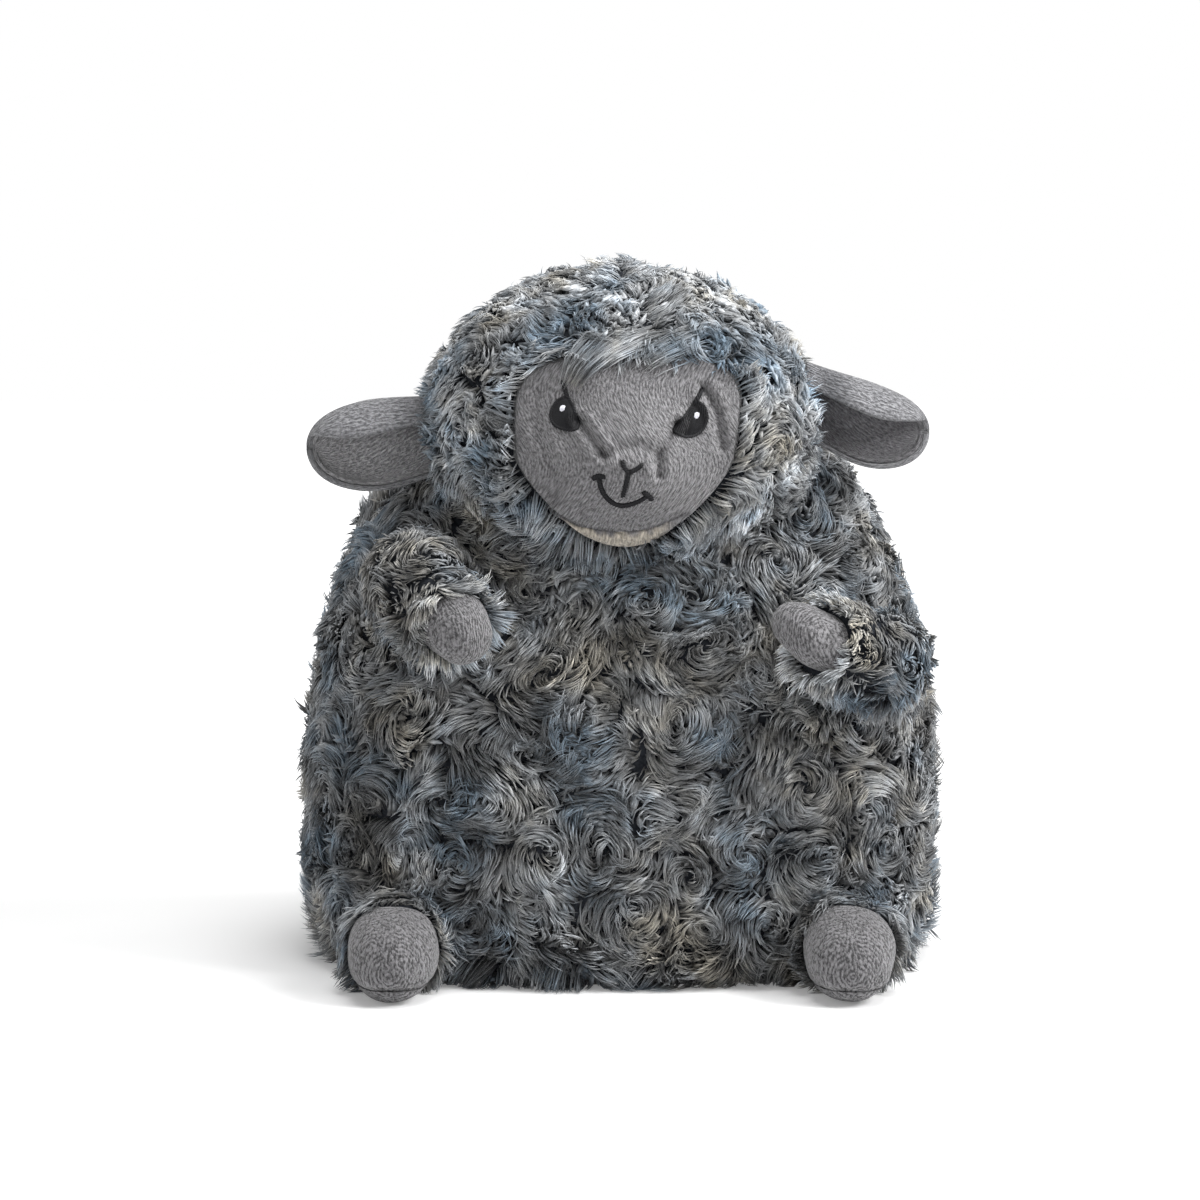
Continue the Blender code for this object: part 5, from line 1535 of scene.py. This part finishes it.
def tip_profile(start, length, radius, back=5 * MM, fullness=2.3):
    """A closed end: a short way back into the sleeve, then a superellipse out to the tip."""
    def profile(u):
        share = np.clip((u - 0.15) / 0.85, 0, 1) * math.pi / 2
        behind = np.clip(1 - u / 0.15, 0, 1)
        ahead = start + length * np.sin(share) ** (2 / fullness)
        round_tip = radius * np.cos(share) ** (2 / fullness)
        along = np.where(u < 0.15, start - back * behind, ahead)
        wide = np.where(u < 0.15, radius * np.sqrt(1 - behind**2 * 0.96), round_tip)
        return along, wide
    return profile


def tail_profile(u):
    """A round root, a narrowing middle and a round tip."""
    narrow = TAIL_ROOT * 0.82
    half = TAIL_LENGTH / 2
    polar = (np.clip(u / 0.3, 0, 1) - 1) * math.pi / 2
    middle = np.clip((u - 0.3) / 0.3, 0, 1)
    tip = np.clip((u - 0.6) / 0.4, 0, 1) * math.pi / 2
    along = np.where(u < 0.3, TAIL_ROOT * np.sin(polar), half * middle + half * np.sin(tip))
    radius = np.where(u < 0.3, TAIL_ROOT * np.cos(polar),
                      (TAIL_ROOT + (narrow - TAIL_ROOT) * smooth(middle)) * np.cos(tip))
    return along, radius


def limb_fur(name, body, surface, reach, seed, length, replaced):
    """Rosette pile on a sleeve from its root to near its end, combed towards the limb's tip."""
    covered = section(surface, (0.12, 0), (0.985, 1))
    roots, normals = scatter(covered, STRANDS_PER_CM2 * 1.1, seed, 60, 60)
    keep = (body_depth(roots) < 3 * MM) & (roots[:, 2] > 1.2 * MM)
    roots, normals = roots[keep], normals[keep]
    centres = spaced(roots, WHORL_SPACING)
    roots = roots + normals * (lumps(roots, centres) * 0.6 - 1.5 * MM)[:, None]
    comb = unit(np.array(reach, float)) * 0.5 + np.array([0, 0, -0.5])
    comb = np.broadcast_to(comb, roots.shape)
    paths, shade = grow(roots, normals, centres, seed, np.full((len(roots), 1), length), comb=comb)
    rng = np.random.default_rng(seed + 1)
    width = rng.uniform(0.5, 0.9, len(roots)) * MM
    in_pieces(name, body, paths, normals, width, shade, FUR, replaced)


def limb_backing(name, body, surface):
    """The knitted backing of a limb, a closed form under its pile."""
    u, v = ring_places(0.004, 0.985, 40, 48)
    belongs(closed_grid(name, surface(u, v), SHADED_BACKING), body)


def cuff_fur(name, body, pivot, reach, start, radii, seed, replaced):
    """Tufts that stand out of the end of a sleeve, in a ring round the paw or foot."""
    axis, side, rise = limb_frame(reach)
    rng = np.random.default_rng(seed)
    count = 750
    radius = np.sqrt(rng.uniform(radii[0] ** 2, radii[1] ** 2, count))
    turn = rng.random(count) * math.tau
    radial = np.cos(turn)[:, None] * side + np.sin(turn)[:, None] * rise
    depth = axis * rng.uniform(-1.5, 0.5, (count, 1)) * MM
    roots = pivot + axis * start + radial * radius[:, None] + depth
    keep = (body_depth(roots) < 2 * MM) & (roots[:, 2] > 1.2 * MM)
    roots, radial, radius = roots[keep], radial[keep], radius[keep]
    lean = ((radius - radii[0]) / (radii[1] - radii[0]))[:, None]
    normals = unit(axis * (1.0 - 0.3 * lean) + radial * (0.25 + 0.75 * lean))
    centres = spaced(roots, CUFF_WHORL_SPACING)
    comb = radial * 0.35 + np.array([0, 0, -0.6])
    length = rng.uniform(6.5, 12.5, (len(roots), 1)) * MM
    paths, shade = grow(roots, normals, centres, seed, length, lean=(0.2, 1.0), swirl=0.8, comb=comb)
    width = rng.uniform(0.45, 0.85, len(roots)) * MM
    shade = shade + 0.08 + 0.26 * (1 - radial[:, 2]) / 2
    in_pieces(name, body, paths, normals, width, shade, LIT_FUR, replaced)


def uneven(grid, middle, seed):
    """A soft end's surface, made softly uneven, and its directions away from its middle."""
    away = unit(grid - middle)
    grid = grid + away * (wave_noise(grid, 14 * MM, seed) * 0.5 * MM)[..., None]
    return grid, away


def soft_piece(name, body, grid, pivot, reach, node, tip=None):
    """A closed end in short pile. Its rows run along the limb, or in rings about a tip."""
    axis, side, rise = limb_frame(reach)
    place = grid - pivot
    local = np.stack([place @ side, place @ rise, place @ axis], -1)
    if tip is None:
        row = local[..., :1] / (1.1 * MM)
    else:
        row = np.linalg.norm(grid - tip, axis=-1, keepdims=True) / (1.6 * MM)
    piece = closed_grid(name, grid, VELBOA)
    add_pile(piece, with_ends(local * np.array([1.0, 0.5, 0.6])), with_ends(row))
    belongs(piece, body, [node])


def build_paw(name, body, pivot, reach, profile, seed, node, form):
    """A paw: longer across one way of its section than across the other, and bent that way."""
    u, v = ring_places(0.002, 0.998, 52, 80)
    grid = turned_surface(pivot, reach, profile)(u, v)
    long_share, short_share, slant, bend = form
    axis, side, rise = limb_frame(reach)
    long_way = side * math.cos(slant) + rise * math.sin(slant)
    short_way = rise * math.cos(slant) - side * math.sin(slant)
    place = grid - pivot
    grid = grid + (dot(place, long_way) * (long_share - 1)) * long_way
    grid = grid + (dot(place, short_way) * (short_share - 1)) * short_way
    grid = grid + long_way * bend * np.clip((dot(place, axis) - ARM_SLEEVE) / PAW_LENGTH, 0, 1)
    grid, _ = uneven(grid, grid.reshape(-1, 3).mean(0), seed)
    soft_piece(name, body, grid, pivot, reach, node)


def build_foot(side, body, pivot, profile, seed):
    """A foot: the upper part, flat below its seam, and the sole, made of the rings' lower arcs.

    Each of the sole's rings starts where the foot's ring meets the seam's level, runs under
    the foot to the other side and comes back along the straight chord.
    """
    surface = turned_surface(pivot, LEG_REACH, profile, FOOT_CORNERS)
    axis = unit(np.array(LEG_REACH, float))
    tip = pivot + axis * (LEG_SLEEVE + FOOT_LENGTH)
    u, v = ring_places(0.002, 0.998, 56, 88)
    grid = surface(u, v)
    middle = grid.reshape(-1, 3).mean(0)
    grid, away = uneven(grid, middle, seed)
    low = SOLE_SEAM + SEAM_GAP / 2
    seam = np.exp(-(((grid[..., 2] - low) / (1.1 * MM)) ** 2))
    dart = 0.7 * np.exp(-(((grid[..., 0] - middle[0] + 3 * MM) / (0.9 * MM)) ** 2))
    dart = dart * (grid[..., 1] < middle[1]) * (1 - smooth((grid[..., 2] - 12 * MM) / (12 * MM)))
    grid = grid - away * ((seam * 0.8 + dart) * MM)[..., None]
    grid[..., 2] = np.maximum(grid[..., 2], low)
    soft_piece(side + "_foot_upper", body, grid, pivot, LEG_REACH, side + "_foot", tip)

    high = SOLE_SEAM - SEAM_GAP / 2
    quarter = np.linspace(0.75, 1.0, 120)
    every = np.linspace(0.002, 0.998, 300)
    level = surface(*np.meshgrid(every, quarter, indexing="ij"))[..., 2]
    crossing = (level[:, 0] < high - 0.3 * MM) & (level[:, -1] > high)
    chosen = np.linspace(every[crossing].min(), every[crossing].max(), 44)
    level = surface(*np.meshgrid(chosen, quarter, indexing="ij"))[..., 2]
    start = np.array([np.interp(high, heights, quarter) for heights in level])
    share = np.linspace(0, 1, 44)
    turn = start[:, None] + (1.5 - 2 * start)[:, None] * share
    arc = surface(np.repeat(chosen[:, None], 44, 1), turn)
    chord = np.linspace(0, 1, 22)[None, 1:-1, None]
    chord = arc[:, -1:] + (arc[:, :1] - arc[:, -1:]) * chord
    under, away = uneven(arc, middle, seed)
    seam = np.exp(-(((under[..., 2] - high) / (1.1 * MM)) ** 2))
    under = under - away * (seam * 0.5 * MM)[..., None]
    grid = np.concatenate([under, chord], 1)
    grid[..., 2] = np.clip(grid[..., 2], 0.2 * MM, high)
    soft_piece(side + "_foot_sole", body, grid, pivot, LEG_REACH, side + "_sole", tip)


def build_sleeve(body, pivot, reach, sizes, seed, pile):
    """A limb's sleeve of a (root, cuff, length): its pile and the knitted backing under it."""
    surface = turned_surface(pivot, reach, sleeve_profile(*sizes))
    limb_fur(body + "_fur", body, surface, reach, seed, pile, [body + "_sleeve"])
    limb_backing(body + "_backing", body, turned_surface(pivot, reach, sleeve_profile(*sizes, 2 * MM)))


def build_arm(side, seed):
    """An arm: its sleeve, the tufts round its cuff and its paw."""
    body = side + "_arm"
    pivot = PIVOT[body + "_swing"]
    reach = ARM_REACH[side]
    build_sleeve(body, pivot, reach, (ARM_ROOT, ARM_CUFF, ARM_SLEEVE), seed, ARM_PILE)
    cuff_fur(body + "_cuff_fur", body, pivot, reach, ARM_SLEEVE, (PAW_RADIUS, ARM_CUFF), seed + 3,
             [body + "_sleeve"])
    paw = tip_profile(ARM_SLEEVE + SEAM_GAP, PAW_LENGTH, PAW_RADIUS)
    build_paw(side + "_paw_end", body, pivot, reach, paw, seed + 5, side + "_paw", PAW_FORM[side])


def build_leg(side, seed):
    """A leg: its short sleeve and its foot."""
    body = side + "_leg"
    pivot = PIVOT[body + "_lift"]
    build_sleeve(body, pivot, LEG_REACH, (LEG_ROOT, LEG_CUFF, LEG_SLEEVE), seed, LEG_PILE)
    foot = tip_profile(LEG_SLEEVE + SEAM_GAP, FOOT_LENGTH, FOOT_RADIUS * FOOT_PLUMPNESS)
    build_foot(side, body, pivot, foot, seed + 5)


def build_tail():
    """The stub tail: its pile, and the backing drawn in from it towards the root."""
    surface = turned_surface(PIVOT["tail_swing"], TAIL_REACH, tail_profile)
    limb_fur("tail_fur", "tail", surface, TAIL_REACH, 81, TAIL_PILE, ["tail"])

    def under(u, v):
        points = surface(u, v)
        return PIVOT["tail_swing"] + (points - PIVOT["tail_swing"]) * 0.88
    limb_backing("tail_backing", "tail", under)


# What lies inside and underneath

def filling(name, body, grid, node, material=FIBRE):
    """A stuffed form that fills its cover, cloudy and uneven."""
    middle = grid.reshape(-1, 3).mean(0)
    cloudy = (wave_noise(grid, 12 * MM, len(name)) * 0.3 * MM)[..., None]
    piece = closed_grid(name, grid - unit(grid - middle) * (0.4 * MM + cloudy), material)
    belongs(piece, body, [node])


def cushion(node, u, v, side_power, plan_power, crown_power):
    """A cushion as big as a solid's box: powers of sines and cosines, from its floor to its top."""
    low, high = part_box(node)
    middle = (np.array(low) + np.array(high)) / 2
    half = (np.array(high) - np.array(low)) / 2
    polar = (u - 0.5) * math.pi
    bearing = v * math.tau
    reach = np.cos(polar) ** side_power
    return np.stack([
        half[0] * reach * signed_power(np.cos(bearing), plan_power),
        half[1] * reach * signed_power(np.sin(bearing), plan_power),
        half[2] * signed_power(np.sin(polar), crown_power),
    ], -1) + middle


def build_inside():
    """The fibre of the body, the head and the limbs, and the bag of pellets."""
    u, v = ring_places(0.06, 0.995, 36, 56)
    inset = FUR_THICKNESS + SEAM_GAP
    grid = body_surface(u, v, inset)
    away = normals_of(lambda a, b: body_surface(a, b, inset), u, v)
    grid = tucked(grid, outwards(away, grid - grid.reshape(-1, 3).mean(0)))
    grid[..., 2] = np.maximum(grid[..., 2], BASE_THICKNESS + 2 * SEAM_GAP)
    filling("body_filling", "body", grid, "body_stuffing")
    filling("head_filling", "head", head_surface(u, v, inset), "head_stuffing")
    inset = SLEEVE_THICKNESS + SEAM_GAP
    for side in ("left", "right"):
        for limb, motion, reach, sizes in (
                ("_arm", "_swing", ARM_REACH[side], (ARM_ROOT, ARM_CUFF - 3 * MM, ARM_SLEEVE + 5 * MM)),
                ("_leg", "_lift", LEG_REACH, (LEG_ROOT, LEG_CUFF, LEG_SLEEVE + 9 * MM))):
            body = side + limb
            surface = turned_surface(PIVOT[body + motion], reach, sleeve_profile(*sizes, inset))
            filling(body + "_filling", body, surface(u, v), body + "_stuffing")
    bag = cushion("pellet_bag", u, v, 0.7, 0.77, 1.0)
    filling("pellet_pouch", "body", bag, "pellet_bag", PELLET_CLOTH)


def build_base():
    """The flat base that it sits on: a puffed cushion of short pile, drawn in at its seam."""
    u, v = ring_places(0.004, 0.996, 40, 100)
    grid = cushion("base_panel", u, v, 0.30, 2 / BODY_PLAN_POWER, 0.5)
    grid[..., 2] = np.maximum(grid[..., 2] + wave_noise(grid, 30 * MM, 9) * 0.15 * MM, 0.1 * MM)
    piece = closed_grid("base_cushion", grid, VELBOA)
    add_pile(piece, with_ends(grid * np.array([1.0, 0.45, 1.0])), with_ends(grid[..., :1]) / LOOP_ROW)
    belongs(piece, "body", ["base_panel"])


# Camera, light and floor

CAMERA_ELEVATION = math.radians(6)
CAMERA_DISTANCE = 1.6
CAMERA_TARGET = (-8 * MM, SHEEP_Y, 141.2 * MM)
CAMERA_LENS = 120
CAMERA_SENSOR = 36
# Lamps: place and size in metres, and power in watts
LAMPS = {
    "key": ((1.55, -0.6, 1.35), 1.0, 44),
    "fill": ((-1.3, -1.3, 0.7), 1.3, 6),
    "top": ((0.15, -0.25, 1.7), 1.0, 23),
}
LAMP_AIM = (0, 0, 0.13)
FLOOR_GREY = 0.86
FLOOR_HALF = 4.0


def camera():
    """The view of the photograph: from a little above, with a long lens from afar."""
    data = bpy.data.cameras.new("camera")
    data.lens = CAMERA_LENS
    data.sensor_width = CAMERA_SENSOR
    view = bpy.data.objects.new("camera", data)
    back = Vector((0, -math.cos(CAMERA_ELEVATION), math.sin(CAMERA_ELEVATION)))
    view.location = Vector(CAMERA_TARGET) + back * CAMERA_DISTANCE
    view.rotation_euler = (math.pi / 2 - CAMERA_ELEVATION, 0, 0)
    bpy.context.scene.collection.objects.link(view)
    bpy.context.scene.camera = view


def lamp(name, place, size, power):
    """A square soft white lamp that faces the toy's middle."""
    data = bpy.data.lights.new(name, "AREA")
    data.size = size
    data.energy = power
    light = bpy.data.objects.new(name, data)
    light.location = place
    aim = Vector(LAMP_AIM) - Vector(place)
    light.rotation_euler = aim.to_track_quat("-Z", "Y").to_euler()
    bpy.context.scene.collection.objects.link(light)


def stage():
    """A white floor that keeps a soft shadow, and a white world behind it."""
    material, nodes, links = new_material("floor")
    shader = nodes["Principled BSDF"]
    shader.inputs["Base Color"].default_value = (FLOOR_GREY, FLOOR_GREY, FLOOR_GREY, 1)
    shader.inputs["Roughness"].default_value = 0.9
    shader.inputs["Specular IOR Level"].default_value = 0.0
    shader.inputs["Emission Color"].default_value = (1, 1, 1, 1)
    path = nodes.new("ShaderNodeLightPath")
    place = object_place(nodes)
    away = nodes.new("ShaderNodeVectorMath")
    away.operation = "LENGTH"
    links.new(place, away.inputs[0])
    far = stretched(nodes, links, away.outputs["Value"], 0.35, 1.1, True)
    glow = plus_share(nodes, links, far, 0.80, 0.20)
    glow = maths(nodes, links, "MULTIPLY", path.outputs["Is Camera Ray"], glow)
    links.new(glow, shader.inputs["Emission Strength"])
    points = FLOOR_HALF * np.array([(-1, -1, 0), (1, -1, 0), (1, 1, 0), (-1, 1, 0)])
    floor = mesh_object("floor", points, np.array([[0, 1, 2, 3]]), material)
    world = bpy.data.worlds.new("studio")
    bpy.context.scene.world = world
    world.use_nodes = True
    nodes, links = world.node_tree.nodes, world.node_tree.links
    background = nodes["Background"]
    path = nodes.new("ShaderNodeLightPath")
    direct, mirrored = path.outputs["Is Camera Ray"], path.outputs["Is Glossy Ray"]
    seen = maths(nodes, links, "ADD", direct, mirrored, True)
    strength = plus_share(nodes, links, seen, 0.76, 0.24)
    background.inputs["Color"].default_value = (1, 1, 1, 1)
    links.new(strength, background.inputs["Strength"])


camera()
stage()
for lamp_name, (place, size, power) in LAMPS.items():
    lamp(lamp_name, place, size, power)

build_body()
build_hood()
build_face()
build_embroidery()
for side_name, limb_seed in (("left", 51), ("right", 61)):
    build_ear(side_name)
    build_arm(side_name, limb_seed)
    build_leg(side_name, limb_seed + 7)
build_tail()
build_inside()
build_base()

bpy.context.scene.view_settings.view_transform = "Standard"
